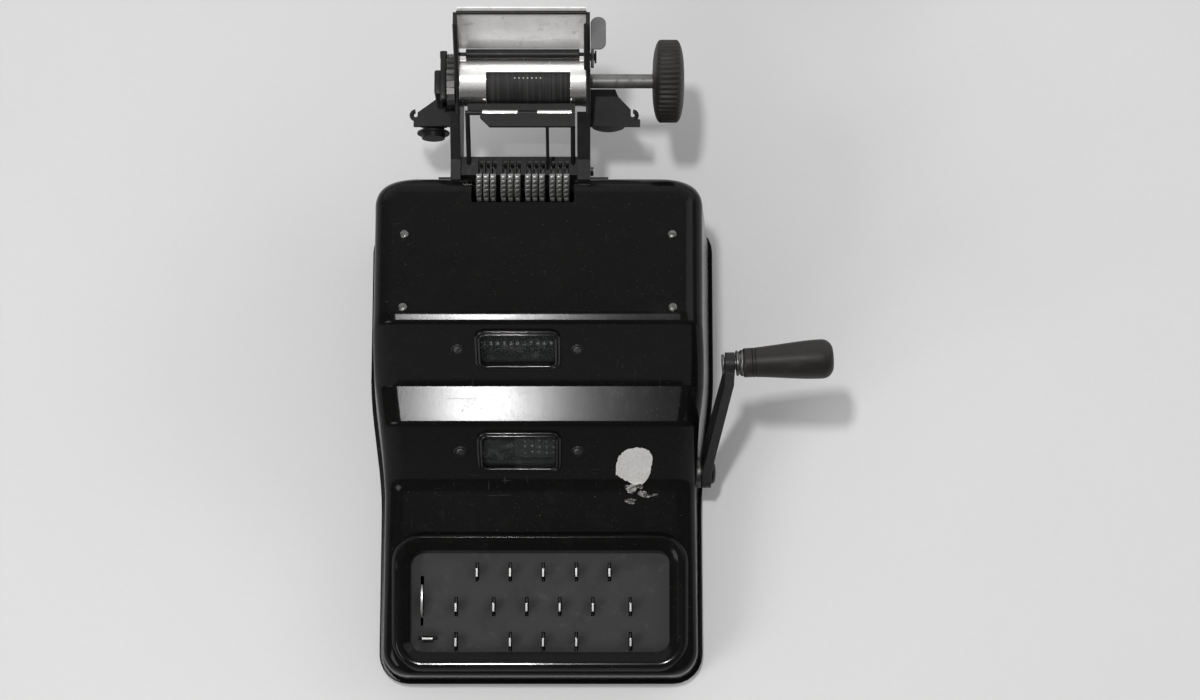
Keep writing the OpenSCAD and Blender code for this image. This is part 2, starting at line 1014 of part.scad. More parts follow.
// Crank
module crank_bush() {
    color(steel)
        place()
            difference() {
                rod_x(wall_x - bush_inner, bush_inner + bush_proud, crank_y, crank_h, bush_d);
                rod_x(wall_x - bush_inner - cut, bush_inner + bush_proud + 2 * cut, crank_y, crank_h,
                    crank_shaft_d + 2 * running_gap);
            }
}

module crank_shaft() {
    start = left_frame_x - rod_end;
    color(steel)
        place() {
            rod_x(start, arm_hub_x + arm_t + shaft_proud - start, crank_y, crank_h, crank_shaft_d);
            for (x = cam_x)
                rod_x(x, cam_t, crank_y, crank_h, 2 * cam_r);
        }
}

module on_crank() {
    translate([0, crank_y, crank_h])
        rotate([-crank_lean, 0, 0])
            children();
}

// Room that a disc on the slanted spindle needs beside the arm's flat face
function slant_room(d) = d / 2 * tan(grip_slant) + arm_t / 2 * (1 / cos(grip_slant) - 1);

module on_grip() {
    pivot = [
        grip_pivot_x,
        crank_y + crank_reach * sin(crank_lean),
        crank_h + crank_reach * cos(crank_lean)
    ];
    translate(pivot)
        rotate(grip_slant)
            translate(-pivot)
                on_crank()
                    children();
}

// The arm seen from the front
module arm_side() {
    polygon([
        [arm_hub_x, -2 * hub_r],
        [arm_hub_x + arm_t, -2 * hub_r],
        [arm_hub_x + arm_t, arm_bend],
        [arm_top_x + arm_t, crank_reach - arm_bend],
        [arm_top_x + arm_t, crank_reach + 2 * arm_end_r],
        [arm_top_x, crank_reach + 2 * arm_end_r],
        [arm_top_x, crank_reach - arm_bend],
        [arm_hub_x, arm_bend]
    ]);
}

// The arm seen from the right
module arm_face() {
    circle(hub_r);
    translate([0, crank_reach])
        circle(arm_end_r);
    polygon([
        [-hub_r + arm_taper, 0],
        [hub_r - arm_taper, 0],
        [arm_end_r - arm_taper, crank_reach],
        [-arm_end_r + arm_taper, crank_reach]
    ]);
}

module crank_arm() {
    color(dark_steel)
        place()
            difference() {
                on_crank()
                    intersection() {
                        rotate([90, 0, 0])
                            linear_extrude(4 * hub_r, center = true)
                                arm_side();
                        along_x(arm_hub_x - cut)
                            linear_extrude(arm_lean_x + arm_t + 2 * cut)
                                arm_face();
                    }
                on_crank()
                    rod_x(arm_hub_x - cut, arm_t + 2 * cut, 0, 0, crank_shaft_d);
                on_grip()
                    rod_x(arm_top_x - head_room, arm_t + 2 * head_room, 0, crank_reach, spindle_d);
            }
}

module grip_spindle() {
    color(steel)
        place()
            on_grip() {
                rod_x(arm_top_x - head_room - spindle_head_t, spindle_head_t, 0, crank_reach, spindle_head_d);
                rod_x(arm_top_x - head_room, spindle_l + head_room, 0, crank_reach, spindle_d);
            }
}

function grip_r(t) = (grip_neck_d + (grip_d - grip_neck_d) * smooth(t)) / 2;

module grip_profile() {
    body_l = grip_len - grip_end_r;
    polygon(concat(
        [[0, 0]],
        [for (i = [0:grip_steps]) [grip_r(i / grip_steps), body_l * i / grip_steps]],
        [for (a = [grip_arc_step:grip_arc_step:90])
            [grip_d / 2 - grip_end_r + grip_end_r * cos(a), body_l + grip_end_r * sin(a)]],
        [[0, grip_len]]
    ));
}

module crank_grip() {
    color(ebonite)
        place()
            on_grip()
                difference() {
                    along_x(grip_x, 0, crank_reach)
                        rotate_extrude()
                            grip_profile();
                    rod_x(grip_x - cut, arm_top_x + spindle_l + moving_gap - grip_x + cut, 0, crank_reach,
                        spindle_d + 2 * running_gap);
                }
}

module grip_ferrule() {
    color(nickel)
        place()
            on_grip()
                difference() {
                    rod_x(grip_x - ferrule_t, ferrule_t, 0, crank_reach, ferrule_d);
                    rod_x(grip_x - ferrule_t - cut, ferrule_t + 2 * cut, 0, crank_reach,
                        spindle_d + 2 * running_gap);
                }
}

// Printer
function up_table(l) = table_foot + l * [sin(table_lean), cos(table_lean)];

module carriage_outline() {
    polygon([
        [case_depth, plate_low],
        [case_depth, flange_high],
        [type_y, flange_high],
        [platen_y - boss_r, platen_h + boss_r / 2],
        up_table(table_l - table_margin) - [table_band, 0],
        up_table(table_l - table_margin),
        up_table(0),
        [platen_y + boss_r, platen_h - boss_r / 2],
        [platen_y + boss_r / 2, plate_low]
    ]);
}

// The turned lip along the front edge of a plate
module carriage_lip(x, w) {
    corner = [type_y, flange_high];
    end = corner + lip_share * ([platen_y - boss_r, platen_h + boss_r / 2] - corner);
    line = [[case_depth, flange_high], corner, end];
    along_x(x)
        linear_extrude(w)
            polygon([
                for (p = line) p,
                for (i = [1:len(line)]) line[len(line) - i] - [0, lip_t]
            ]);
}

module carriage_plate(x, flange_x) {
    difference() {
        union() {
            along_x(x)
                linear_extrude(plate_w)
                    carriage_outline();
            translate([flange_x, case_depth, flange_low])
                cube([flange_w, plate_w, flange_high - flange_low]);
        }
        rod_x(x - cut, plate_w + 2 * cut, platen_y, platen_h, platen_shaft_d + 2 * running_gap);
        rod_x(x - cut, plate_w + 2 * cut, type_y, type_z, type_shaft_d + 2 * running_gap);
        flange_screw_spots()
            screw_hole();
    }
}

module carriage_left_plate() {
    color(dark_steel)
        place() {
            carriage_plate(left_plate_x, left_plate_x + plate_w - flange_w);
            carriage_lip(left_plate_x - left_lip_w, left_lip_w);
        }
}

module carriage_right_plate() {
    outer = right_plate_x + plate_w;
    reach = release_gap + release_t + release_gap;
    color(dark_steel)
        place() {
            carriage_plate(right_plate_x, right_plate_x);
            carriage_lip(right_plate_x - right_lip_w, right_lip_w);
            rod_x(outer, reach, release_y, release_z, release_pin_d);
            rod_x(outer + reach, release_head_t, release_y, release_z, release_head_d);
        }
}

module type_shaft() {
    color(steel)
        place()
            rod_x(left_plate_x - shaft_proud, carriage_w + 2 * plate_w + 2 * shaft_proud, type_y, type_z,
                type_shaft_d);
}

module type_comb() {
    low = type_z - comb_low;
    color(dark_steel)
        place()
            difference() {
                union() {
                    translate([left_plate_x + plate_w, type_y - comb_front, low])
                        cube([carriage_w, comb_front + comb_rear, comb_low + comb_high]);
                    translate([left_plate_x + plate_w, type_y, type_z - comb_floor - comb_shelf_t])
                        cube([carriage_w, comb_rear + comb_shelf_l, comb_shelf_t]);
                }
                for (x = type_offsets)
                    translate([printer_x + x - comb_slot / 2, type_y - comb_front - cut, type_z - comb_floor])
                        cube([comb_slot, comb_front + comb_rear + 2 * cut, comb_floor + comb_high + cut]);
                rod_x(left_plate_x, carriage_w + 2 * plate_w, type_y, type_z, type_shaft_d + 2 * running_gap);
            }
}

module type_head_outline() {
    far = 2 * type_reach;
    intersection() {
        difference() {
            circle(type_reach);
            circle(type_reach - type_head_l);
        }
        polygon([[0, 0], far * [cos(type_span / 2), sin(type_span / 2)],
            far * [cos(type_span / 2), -sin(type_span / 2)]]);
    }
}

module type_arm_outline() {
    difference() {
        union() {
            circle(type_hub_r);
            translate([0, -type_arm_l / 2])
                square([type_reach - type_head_l / 2, type_arm_l]);
        }
        circle(d = type_shaft_d + 2 * running_gap);
    }
}

module type_bars() {
    color(steel)
        place()
            for (x = type_offsets)
                along_x(printer_x + x, type_y, type_z)
                    rotate(type_rest) {
                        linear_extrude(type_head_w, center = true)
                            type_head_outline();
                        linear_extrude(type_arm_w, center = true)
                            type_arm_outline();
                    }
}

module platen_roller() {
    color(rubber)
        place()
            difference() {
                rod_x(left_plate_x + plate_w + platen_play, carriage_w - 2 * platen_play, platen_y, platen_h,
                    platen_d);
                rod_x(left_plate_x, carriage_w + 2 * plate_w, platen_y, platen_h, platen_shaft_d);
            }
}

module platen_shaft() {
    start = ratchet_x - shaft_tail;
    color(nickel)
        place()
            rod_x(start, knob_x + knob_w - knob_dish - start, platen_y, platen_h, platen_shaft_d);
}

function flute_r(a) = knob_d / 2 - knob_flute_depth * (1 + cos(knob_flutes * a)) / 2;

// A point on the knob's rounded shoulder, from its face at 0 to its rim at 90
function knob_round(a) = [knob_body_r - knob_shoulder * (1 - sin(a)), knob_shoulder_w * (1 - cos(a))];

module knob_profile() {
    turns = [0:knob_shoulder_step:90];
    polygon([
        [0, 0],
        for (a = turns) knob_round(a),
        for (a = turns) [knob_round(90 - a)[0], knob_w - knob_round(90 - a)[1]],
        [knob_dish_d / 2, knob_w],
        [knob_dish_d / 2 - knob_dish, knob_w - knob_dish],
        [0, knob_w - knob_dish]
    ]);
}

module platen_knob() {
    step = 360 / knob_flutes / flute_steps;
    color(ebonite)
        place()
            along_x(knob_x, platen_y, platen_h)
                difference() {
                    union() {
                        rotate_extrude()
                            knob_profile();
                        translate([0, 0, knob_shoulder_w])
                            linear_extrude(knob_w - 2 * knob_shoulder_w)
                                polygon([for (a = [0:step:360 - step]) flute_r(a) * [cos(a), sin(a)]]);
                    }
                    translate([0, 0, -cut])
                        cylinder(h = knob_w + 2 * cut, d = platen_shaft_d);
                }
}

module ratchet_wheel() {
    step = 360 / ratchet_teeth;
    color(steel)
        place()
            along_x(ratchet_x, platen_y, platen_h)
                linear_extrude(ratchet_t)
                    difference() {
                        polygon([for (i = [0:ratchet_teeth - 1]) each [
                            ratchet_r * [cos(i * step), sin(i * step)],
                            (ratchet_r - ratchet_depth) * [cos(i * step), sin(i * step)]
                        ]]);
                        circle(d = platen_shaft_d);
                    }
}

module shield_band(inner, outer, l, first, last) {
    rotate(first)
        rotate_extrude(angle = last - first)
            translate([inner, 0])
                square([outer - inner, l]);
}

module platen_shield() {
    inner = platen_d / 2 + shield_gap;
    outer = inner + shield_t;
    color(nickel)
        place()
            along_x(left_plate_x + plate_w, platen_y, platen_h)
                difference() {
                    shield_band(inner, outer, carriage_w, shield_rear_angle, shield_front_angle);
                    translate([0, 0, shield_left])
                        shield_band(inner - cut, outer + cut, carriage_w - shield_left - shield_right,
                            shield_open_angle, shield_front_angle + cut);
                }
}

module paper_table() {
    color(nickel)
        place()
            along_x(left_plate_x + plate_w, table_foot[0], table_foot[1])
                linear_extrude(carriage_w)
                    rotate(-table_lean)
                        square([table_t, table_l]);
}

module ribbon_guide() {
    x = left_plate_x + plate_w + bar_left;
    l = carriage_w - bar_left - bar_right;
    rod_y = bar_y + bar_l + bar_rod_d / 4;
    rise = bar_z + bar_t / 2 - type_z - comb_high;
    arm_run = rod_y - type_y;
    post_run = bar_y + bar_l / 2 - type_y;
    color(dark_steel)
        place() {
            translate([x, bar_y, bar_z])
                linear_extrude(bar_t)
                    polygon([[bar_chamfer, 0], [l, 0], [l, bar_l], [0, bar_l], [0, bar_chamfer]]);
            rod_x(x - bar_reach - bar_rod_d / 2, l + bar_reach + bar_rod_d / 2,
                rod_y, bar_z + bar_t / 2, bar_rod_d);
            translate([x - bar_reach, rod_y, bar_z + bar_t / 2 - guide_apron_t / 2])
                cube([l + bar_reach, guide_apron_l, guide_apron_t]);
            difference() {
                for (arm_x = [x - bar_reach, x + l - bar_rod_d / 2])
                    translate([arm_x, type_y, type_z + comb_high])
                        rotate([-atan2(arm_run, rise), 0, 0])
                            translate([0, 0, -bar_rod_d])
                                cylinder(h = norm([arm_run, rise]) + bar_rod_d, d = bar_rod_d);
                translate([x - 2 * bar_reach, type_y - comb_front, type_z])
                    cube([carriage_w, comb_front + 2 * comb_rear, comb_high]);
            }
            along_x(printer_x + type_cluster - guide_post_w / 2, type_y, type_z + comb_high)
                linear_extrude(guide_post_w)
                    polygon([
                        [-guide_post_l, 0],
                        [0, 0],
                        [post_run + guide_post_l / 2, rise],
                        [post_run - guide_post_l / 2, rise]
                    ]);
        }
}

// One ribbon bracket, reaching out along +X from the carriage plate
module ribbon_bracket(tip, slant, toe, pin_out, pin_l) {
    wall_low = spool_z - bracket_foot;
    translate([0, bracket_y, bracket_z - bracket_t])
        linear_extrude(bracket_t)
            polygon([
                [0, 0],
                [bracket_w + toe, 0],
                [bracket_w + toe, bracket_toe_l],
                [bracket_w, bracket_toe_l],
                [bracket_w, tip],
                [bracket_w - slant, bracket_neck],
                [bracket_w - slant - bracket_top_in, bracket_l],
                [0, bracket_l]
            ]);
    translate([0, bracket_y + bracket_wall - wall_l, wall_low])
        cube([bracket_w, wall_l, bracket_z - bracket_t / 2 - wall_low]);
    translate([pin_out, bracket_y + bracket_wall, spool_z])
        rotate([90, 0, 0])
            cylinder(h = wall_l + moving_gap + pin_l, d = spool_pin_d);
    translate([bracket_w + hook_r - hook_d / 2, bracket_y + hook_y, bracket_z - bracket_t / 2])
        rotate(hook_turn)
            rotate_extrude(angle = hook_sweep)
                translate([hook_r, 0])
                    circle(d = hook_d);
}

module left_ribbon_bracket() {
    color(dark_steel)
        place()
            translate([left_plate_x, 0, 0])
                mirror([1, 0, 0])
                    ribbon_bracket(left_bracket_tip, left_bracket_slant, left_bracket_toe, left_spool_out,
                        left_spool_w + left_nut_l);
}

module right_ribbon_bracket() {
    color(dark_steel)
        place()
            translate([right_plate_x + plate_w, 0, 0])
                ribbon_bracket(right_bracket_tip, right_bracket_slant, right_bracket_toe, right_spool_out,
                    right_spool_w + right_nut_l);
}

module spool_profile(w, nut_l) {
    bore = spool_pin_d / 2 + running_gap;
    translate([bore, 0])
        square([spool_core_d / 2 - bore, w]);
    for (y = [0, w - spool_flange_t])
        translate([bore, y])
            square([spool_d / 2 - bore, spool_flange_t]);
    translate([bore, w])
        square([nut_d / 2 - bore, nut_l]);
}

module ribbon_spool(x, w, nut_l) {
    color(dark_steel)
        place()
            translate([x, bracket_y + bracket_wall - wall_l - moving_gap, spool_z])
                rotate([90, 0, 0])
                    rotate_extrude()
                        spool_profile(w, nut_l);
}

module left_spool() {
    ribbon_spool(left_plate_x - left_spool_out, left_spool_w, left_nut_l);
}

module right_spool() {
    ribbon_spool(right_plate_x + plate_w + right_spool_out, right_spool_w, right_nut_l);
}

module release_lever() {
    x = right_plate_x + plate_w + release_gap;
    color(grey_paint)
        place()
            difference() {
                union() {
                    along_x(x, release_y, release_z)
                        linear_extrude(release_t) {
                            circle(release_l);
                            translate([-release_l / 2, 0])
                                square([release_l, release_h]);
                        }
                    translate([x, release_y - release_pad_front, release_z + release_h - release_t])
                        cube([release_pad_w, release_pad_l, release_t]);
                }
                rod_x(x - cut, release_t + 2 * cut, release_y, release_z, release_pin_d + 2 * running_gap);
            }
}

base_pan();
feet();
case_cover();
screws();
window_frames();
window_panes();
key_bezel();
key_plate();
key_guide();
key_spring_comb();
left_frame();
right_frame();
cross_rods();
index_rails();
index_carriage();
result_wheels();
crank_bush();
crank_shaft();
crank_arm();
grip_spindle();
crank_grip();
grip_ferrule();
carriage_left_plate();
carriage_right_plate();
type_shaft();
type_comb();
type_bars();
platen_roller();
platen_shaft();
platen_knob();
ratchet_wheel();
platen_shield();
paper_table();
ribbon_guide();
left_ribbon_bracket();
right_ribbon_bracket();
left_spool();
right_spool();
release_lever();
correction_key();
repeat_lever();
key(0);  // key_01
key(1);  // key_02
key(2);  // key_03
key(3);  // key_04
key(4);  // key_05
key(5);  // key_06
key(6);  // key_07
key(7);  // key_08
key(8);  // key_09
key(9);  // key_10
key(10);  // key_11
key(11);  // key_12
key(12);  // key_13
key(13);  // key_14
key(14);  // key_15
key(15);  // key_16
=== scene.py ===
import json
import math
import random

import bmesh
import bpy
from mathutils import Matrix, Vector


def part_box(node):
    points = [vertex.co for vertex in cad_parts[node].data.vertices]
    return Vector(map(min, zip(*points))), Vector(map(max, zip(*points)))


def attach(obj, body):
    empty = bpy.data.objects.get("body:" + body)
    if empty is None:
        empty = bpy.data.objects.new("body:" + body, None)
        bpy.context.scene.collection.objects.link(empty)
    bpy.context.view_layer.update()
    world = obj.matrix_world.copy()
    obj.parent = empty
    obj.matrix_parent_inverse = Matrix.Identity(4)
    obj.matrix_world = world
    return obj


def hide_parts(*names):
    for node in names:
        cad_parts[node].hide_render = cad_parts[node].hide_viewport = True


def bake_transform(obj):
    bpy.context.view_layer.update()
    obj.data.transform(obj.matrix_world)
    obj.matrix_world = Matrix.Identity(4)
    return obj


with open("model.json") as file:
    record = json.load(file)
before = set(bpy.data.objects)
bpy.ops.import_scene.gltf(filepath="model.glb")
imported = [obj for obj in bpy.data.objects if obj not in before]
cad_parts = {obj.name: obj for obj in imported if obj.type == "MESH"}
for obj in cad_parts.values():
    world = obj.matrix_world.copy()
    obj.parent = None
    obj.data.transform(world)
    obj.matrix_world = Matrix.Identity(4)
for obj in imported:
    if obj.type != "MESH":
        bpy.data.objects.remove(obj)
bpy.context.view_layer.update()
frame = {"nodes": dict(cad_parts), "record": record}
nodes = frame["nodes"]
mm = 0.001
caseLow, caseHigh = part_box("case_cover")
caseFront = Vector(((caseLow.x + caseHigh.x) / 2, caseLow.y, 0))  # middle of the front wall, on the table
print("frame loaded:", len(nodes), "nodes")


def at(x, y, z):  # millimetres from the middle of the front wall
    return caseFront + Vector((x, y, z)) * mm


def spot(x, y, z, tilt=0.0):  # a local millimetre frame, turned about X
    turn = Matrix.Rotation(math.radians(tilt), 4, "X")
    return Matrix.Translation(at(x, y, z)) @ turn @ Matrix.Scale(mm, 4)


case = {
    "frontWidth": 207, "rearWidth": 224, "depth": 305.5, "wall": 2.4, "roof": 3.6, "foot": 9, "lean": 4,
    "edge": 15, "edgeShare": 0.28, "edgeLeast": 2, "corner": 17, "flareFrom": 110, "flareTo": 202,
    "deckTilt": 9, "deckMid": (0, 47, 47.444), "edgeSteps": 12, "arcSteps": 9, "cornerSteps": 12,
    "flareStep": 5, "leastStep": 0.2,
}
typeShaft = {"y": 319.5, "z": 100}


# Materials

class Sock:  # wraps a socket, so that shader maths reads as sums
    def __init__(self, tree, out=None):
        self.tree, self.out = tree, out

    def add(self, kind, settings=None, sockets=None, pick=0):
        made = self.tree.nodes.new("ShaderNode" + kind)
        for name, value in (settings or {}).items():
            setattr(made, name, value)
        for name, value in (sockets or {}).items():
            if isinstance(value, Sock):
                self.tree.links.new(value.out, made.inputs[name])
            else:
                made.inputs[name].default_value = value
        return Sock(self.tree, made.outputs[pick] if made.outputs else None)

    def maths(self, operation, a, b=0.0):
        return self.add("Math", {"operation": operation}, {0: a, 1: b})

    def __add__(self, other):
        return self.maths("ADD", self, other)

    def __radd__(self, other):
        return self.maths("ADD", other, self)

    def __sub__(self, other):
        return self.maths("SUBTRACT", self, other)

    def __rsub__(self, other):
        return self.maths("SUBTRACT", other, self)

    def __mul__(self, other):
        return self.maths("MULTIPLY", self, other)

    def __pow__(self, other):
        return self.maths("POWER", self, other)


def grey(level, warm=0.0):
    return (level * (1 + warm), level, level * (1 - warm), 1)


def between(s, value, low, high):  # 0 below low, 1 above high
    return s.add("MapRange", {"interpolation_type": "SMOOTHSTEP"}, {0: value, 1: low, 2: high})


def blendColour(s, share, first, second):
    return s.add("Mix", {"data_type": "RGBA"}, {0: share, 6: first, 7: second}, pick=2)


def noise(s, coords, scale, detail=3.0, rough=0.5, stretch=None):
    if stretch:
        coords = s.add("Mapping", None, {0: coords, 3: stretch})
    return s.add("TexNoise", None, {0: coords, 2: scale, 3: detail, 4: rough})


def parts(s, coords):  # the X, Y and Z of a point
    split = s.add("SeparateXYZ", None, {0: coords})
    return [Sock(s.tree, split.out.node.outputs[axis]) for axis in "XYZ"]


def newFinish(name):
    made = bpy.data.materials.new(name)
    made.use_nodes = True
    made.node_tree.nodes.clear()
    s = Sock(made.node_tree)
    return made, s, s.add("TexCoord", pick=3)


def closeFinish(s, colour, rough, more=None, bump=None, strength=0.3, distance=0.0002):
    sockets = {"Base Color": colour, "Roughness": rough, **(more or {})}
    if bump is not None:
        relief = {"Strength": strength, "Distance": distance, "Height": bump}
        sockets["Normal"] = s.add("Bump", None, relief)
    shader = s.add("BsdfPrincipled", None, sockets)
    s.add("OutputMaterial", None, {0: shader})


def deckHeight(s, p):  # metres above the plane of the key deck
    tilt = math.radians(case["deckTilt"])
    low = at(*case["deckMid"])
    y, z = parts(s, p)[1:]
    return z * math.cos(tilt) - y * math.sin(tilt) - (low.z * math.cos(tilt) - low.y * math.sin(tilt))


def beadCrest(s, p):  # the top of the bead, where a glossy coat paints a highlight: at its front, most at the left of its middle
    x, y = parts(s, p)[:2]
    across = x - caseFront.x
    front = 1 - between(s, y - caseFront.y, 0.05, 0.08)
    highlightSpan = between(s, across, -0.085, -0.04) * (1 - between(s, across, -0.012, 0.014))
    return between(s, deckHeight(s, p), 0.0034, 0.0038) * front * (0.22 + highlightSpan * 0.78)


def enamelFinish(name, shine, highlightCoat=None):
    made, s, p = newFinish(name)
    cloud = noise(s, p, 16, 6, 0.6)
    peel = noise(s, p, 500, 2)
    film = between(s, noise(s, p, 55, 8, 0.7), 0.5, 0.74)
    speck = between(s, noise(s, p, 850, 2), 0.68, 0.74)
    scratchA = between(s, noise(s, p, 9, 4, 0.6, (60, 4, 4)), 0.655, 0.69)
    scratchB = between(s, noise(s, p, 8, 4, 0.6, (3, 70, 30)), 0.665, 0.70)
    patchy = between(s, noise(s, p, 24, 3), 0.52, 0.62)
    scratch = s.maths("MAXIMUM", scratchA, scratchB) * patchy
    colour = blendColour(s, cloud, grey(0.0026, 0.04), grey(0.005, 0.03))
    colour = blendColour(s, film * 0.06, colour, grey(0.035, 0.04))
    colour = blendColour(s, speck * 0.25, colour, grey(0.08, 0.05))
    colour = blendColour(s, scratch * 0.2, colour, grey(0.09, 0.02))
    rough = 0.125 + cloud * 0.05 + film * 0.03 + scratch * 0.08 + speck * 0.15
    more = {"Specular IOR Level": shine}
    # the coat, placed by the mask, paints a highlight
    if highlightCoat:
        more["Coat Weight"] = highlightCoat(s, p)
        more["Coat Roughness"] = 0.12
    closeFinish(s, colour, rough, more, peel, 0.03)
    return made


def nearSpots(s, p, spots, inner, outer):  # 1 beside any of the spots, seen from above
    flat = s.add("VectorMath", {"operation": "MULTIPLY"}, {0: p, 1: (1, 1, 0)})
    clear = 1.0
    for x, y in spots:
        away = s.add("VectorMath", {"operation": "DISTANCE"}, {0: flat, 1: (x, y, 0)}, pick=1)
        clear = between(s, away, inner, outer) * clear
    return 1 - clear


def greyPaintFinish(name, dark, light, spots=()):  # darker round the spots, as painted shade of the key slots
    made, s, p = newFinish(name)
    cloud = noise(s, p, 30, 7, 0.65)
    grain = noise(s, p, 1500, 3)
    wear = between(s, noise(s, p, 120, 6, 0.7), 0.56, 0.68)
    grime = between(s, noise(s, p, 45, 5, 0.6), 0.5, 0.7)
    colour = blendColour(s, cloud, grey(dark), grey(light, 0.01))
    colour = blendColour(s, grime * 0.5, colour, grey(dark * 0.7, 0.04))
    colour = blendColour(s, wear * 0.2, colour, grey(light * 1.7))
    if spots:
        # painted shade round each key stem
        slotShade = nearSpots(s, p, spots, 0.001, 0.0095)
        colour = blendColour(s, slotShade * 0.6, colour, grey(dark * 0.25, 0.04))
    rough = 0.5 + cloud * 0.18 - wear * 0.12
    closeFinish(s, colour, rough, {"Specular IOR Level": 0.25}, grain, 0.22)
    return made


def metalFinish(name, dark, light, rough, tarnish, stretch, spread=0.18, metal=1.0, shade=None, dull=None):
    made, s, p = newFinish(name)
    cloud = noise(s, p, 60, 5, 0.6)
    brush = noise(s, p, 260, 4, 0.6, stretch)
    stain = between(s, noise(s, p, 140, 6, 0.7), 0.55, 0.72)
    pit = between(s, noise(s, p, 1100, 2), 0.66, 0.73)
    colour = blendColour(s, cloud, grey(dark, 0.02), grey(light, 0.015))
    colour = blendColour(s, stain * tarnish, colour, grey(dark * 0.35, 0.09))
    colour = blendColour(s, pit * tarnish, colour, grey(dark * 0.25, 0.12))
    if shade:  # painted shade: dark where the piece lies deep
        colour = blendColour(s, shade(s, p), grey(0.012, 0.06), colour)
    roughness = rough + brush * spread * 0.5 + stain * spread + pit * 0.2
    metallic = metal - pit * (tarnish * 0.5 * metal)
    # the mask takes metal away as painted light
    if dull:
        metallic = metallic - dull(s, p) * 0.72
    closeFinish(s, colour, roughness, {"Metallic": metallic}, brush, 0.08)
    return made


def aboveDeck(s, p):  # 0 under the key plate, 1 at the tips of the stems
    return between(s, deckHeight(s, p), -0.006, -0.0015)


def topOfShield(s, p):  # 1 on the upper side, made pale and less metallic as painted light
    return between(s, parts(s, p)[2], 0.156, 0.161)


def farFromTypeShaft(s, p):  # 0 near the shaft, 1 along the type heads
    shaft = at(0, typeShaft["y"], typeShaft["z"])
    y, z = parts(s, p)[1:]
    return between(s, (y - shaft.y) ** 2.0 + (z - shaft.z) ** 2.0, 0.034 ** 2, 0.04 ** 2)


def darkSteelFinish():
    made, s, p = newFinish("blackenedSteel")
    cloud = noise(s, p, 70, 6, 0.6)
    grain = noise(s, p, 900, 3)
    rub = between(s, noise(s, p, 210, 5, 0.65), 0.57, 0.7)
    dust = between(s, noise(s, p, 90, 7, 0.7), 0.54, 0.74)
    colour = blendColour(s, cloud, grey(0.007, 0.03), grey(0.016, 0.02))
    colour = blendColour(s, rub * 0.3, colour, grey(0.09, 0.02))
    colour = blendColour(s, dust * 0.25, colour, grey(0.04, 0.06))
    rough = 0.34 + cloud * 0.14 + dust * 0.15 - rub * 0.06
    metallic = 0.25 + rub * 0.5
    closeFinish(s, colour, rough, {"Metallic": metallic, "Specular IOR Level": 0.25}, grain, 0.1)
    return made


def rubberFinish():
    made, s, p = newFinish("blackRubber")
    cloud = noise(s, p, 80, 6, 0.65)
    grain = noise(s, p, 1300, 3)
    shine = between(s, noise(s, p, 150, 4), 0.55, 0.7)
    colour = blendColour(s, cloud, grey(0.012), grey(0.03, 0.03))
    colour = blendColour(s, shine * 0.3, colour, grey(0.055, 0.04))
    rough = 0.62 + cloud * 0.2 - shine * 0.12
    closeFinish(s, colour, rough, {"Specular IOR Level": 0.4}, grain, 0.25)
    return made


def platenFinish():
    made, s, p = newFinish("platenRubber")
    rings = between(s, noise(s, p, 30, 2, 0.5, (22, 0.4, 0.4)), 0.45, 0.6)
    cloud = noise(s, p, 80, 6, 0.65)
    colour = blendColour(s, cloud, grey(0.006), grey(0.014, 0.03))
    colour = blendColour(s, rings * 0.5, colour, grey(0.035, 0.03))
    rough = 0.5 + cloud * 0.2
    closeFinish(s, colour, rough, {"Specular IOR Level": 0.3}, rings, 0.1)
    return made


def eboniteFinish():
    made, s, p = newFinish("ebonite")
    cloud = noise(s, p, 40, 6, 0.6)
    turned = noise(s, p, 40, 2, 0.5, (60, 1, 1))
    hand = between(s, noise(s, p, 90, 6, 0.7), 0.5, 0.7)
    colour = blendColour(s, cloud, grey(0.006, 0.1), grey(0.014, 0.14))
    colour = blendColour(s, hand * 0.25, colour, grey(0.035, 0.1))
    rough = 0.4 + cloud * 0.14 + hand * 0.12
    closeFinish(s, colour, rough, {"Specular IOR Level": 0.25}, turned, 0.06, 0.0003)
    return made


def glassFinish():
    made, s, p = newFinish("windowGlass")
    dust = between(s, noise(s, p, 160, 7, 0.7), 0.5, 0.75)
    smear = noise(s, p, 35, 4, 0.6, (1, 3, 3))
    colour = blendColour(s, dust, (0.2, 0.22, 0.22, 1), (0.3, 0.29, 0.26, 1))
    closeFinish(s, colour, 0.05 + smear * 0.1, {"Alpha": 0.04 + dust * 0.06})
    return made


def paperFinish():
    made, s, p = newFinish("tornPaper")
    cloud = noise(s, p, 90, 6, 0.6)
    fibre = noise(s, p, 700, 5, 0.7, (1, 3, 1))
    stain = between(s, noise(s, p, 60, 5, 0.6), 0.55, 0.75)
    speck = between(s, noise(s, p, 1300, 3), 0.55, 0.64)
    colour = blendColour(s, cloud, grey(0.4, 0.03), grey(0.54, 0.02))
    colour = blendColour(s, speck * 0.45, colour, grey(0.16, 0.06))
    colour = blendColour(s, stain * 0.4, colour, grey(0.3, 0.1))
    closeFinish(s, colour, 0.85 + fibre * 0.1, None, fibre, 0.3)
    return made


def glueFinish():
    made, s, p = newFinish("oldGlue")
    fleck = between(s, noise(s, p, 420, 6, 0.7), 0.42, 0.6)
    cloud = noise(s, p, 130, 4, 0.6)
    colour = blendColour(s, cloud, grey(0.16, 0.05), grey(0.38, 0.06))
    colour = blendColour(s, fleck, grey(0.02, 0.05), colour)
    closeFinish(s, colour, 0.7 + cloud * 0.2, None, fleck, 0.4)
    return made


def numeralFinish(name, dark, light):
    made, s, p = newFinish(name)
    worn = noise(s, p, 900, 4, 0.7)
    colour = blendColour(s, worn, grey(dark, 0.06), grey(light, 0.03))
    closeFinish(s, colour, 0.5 + worn * 0.2)
    return made


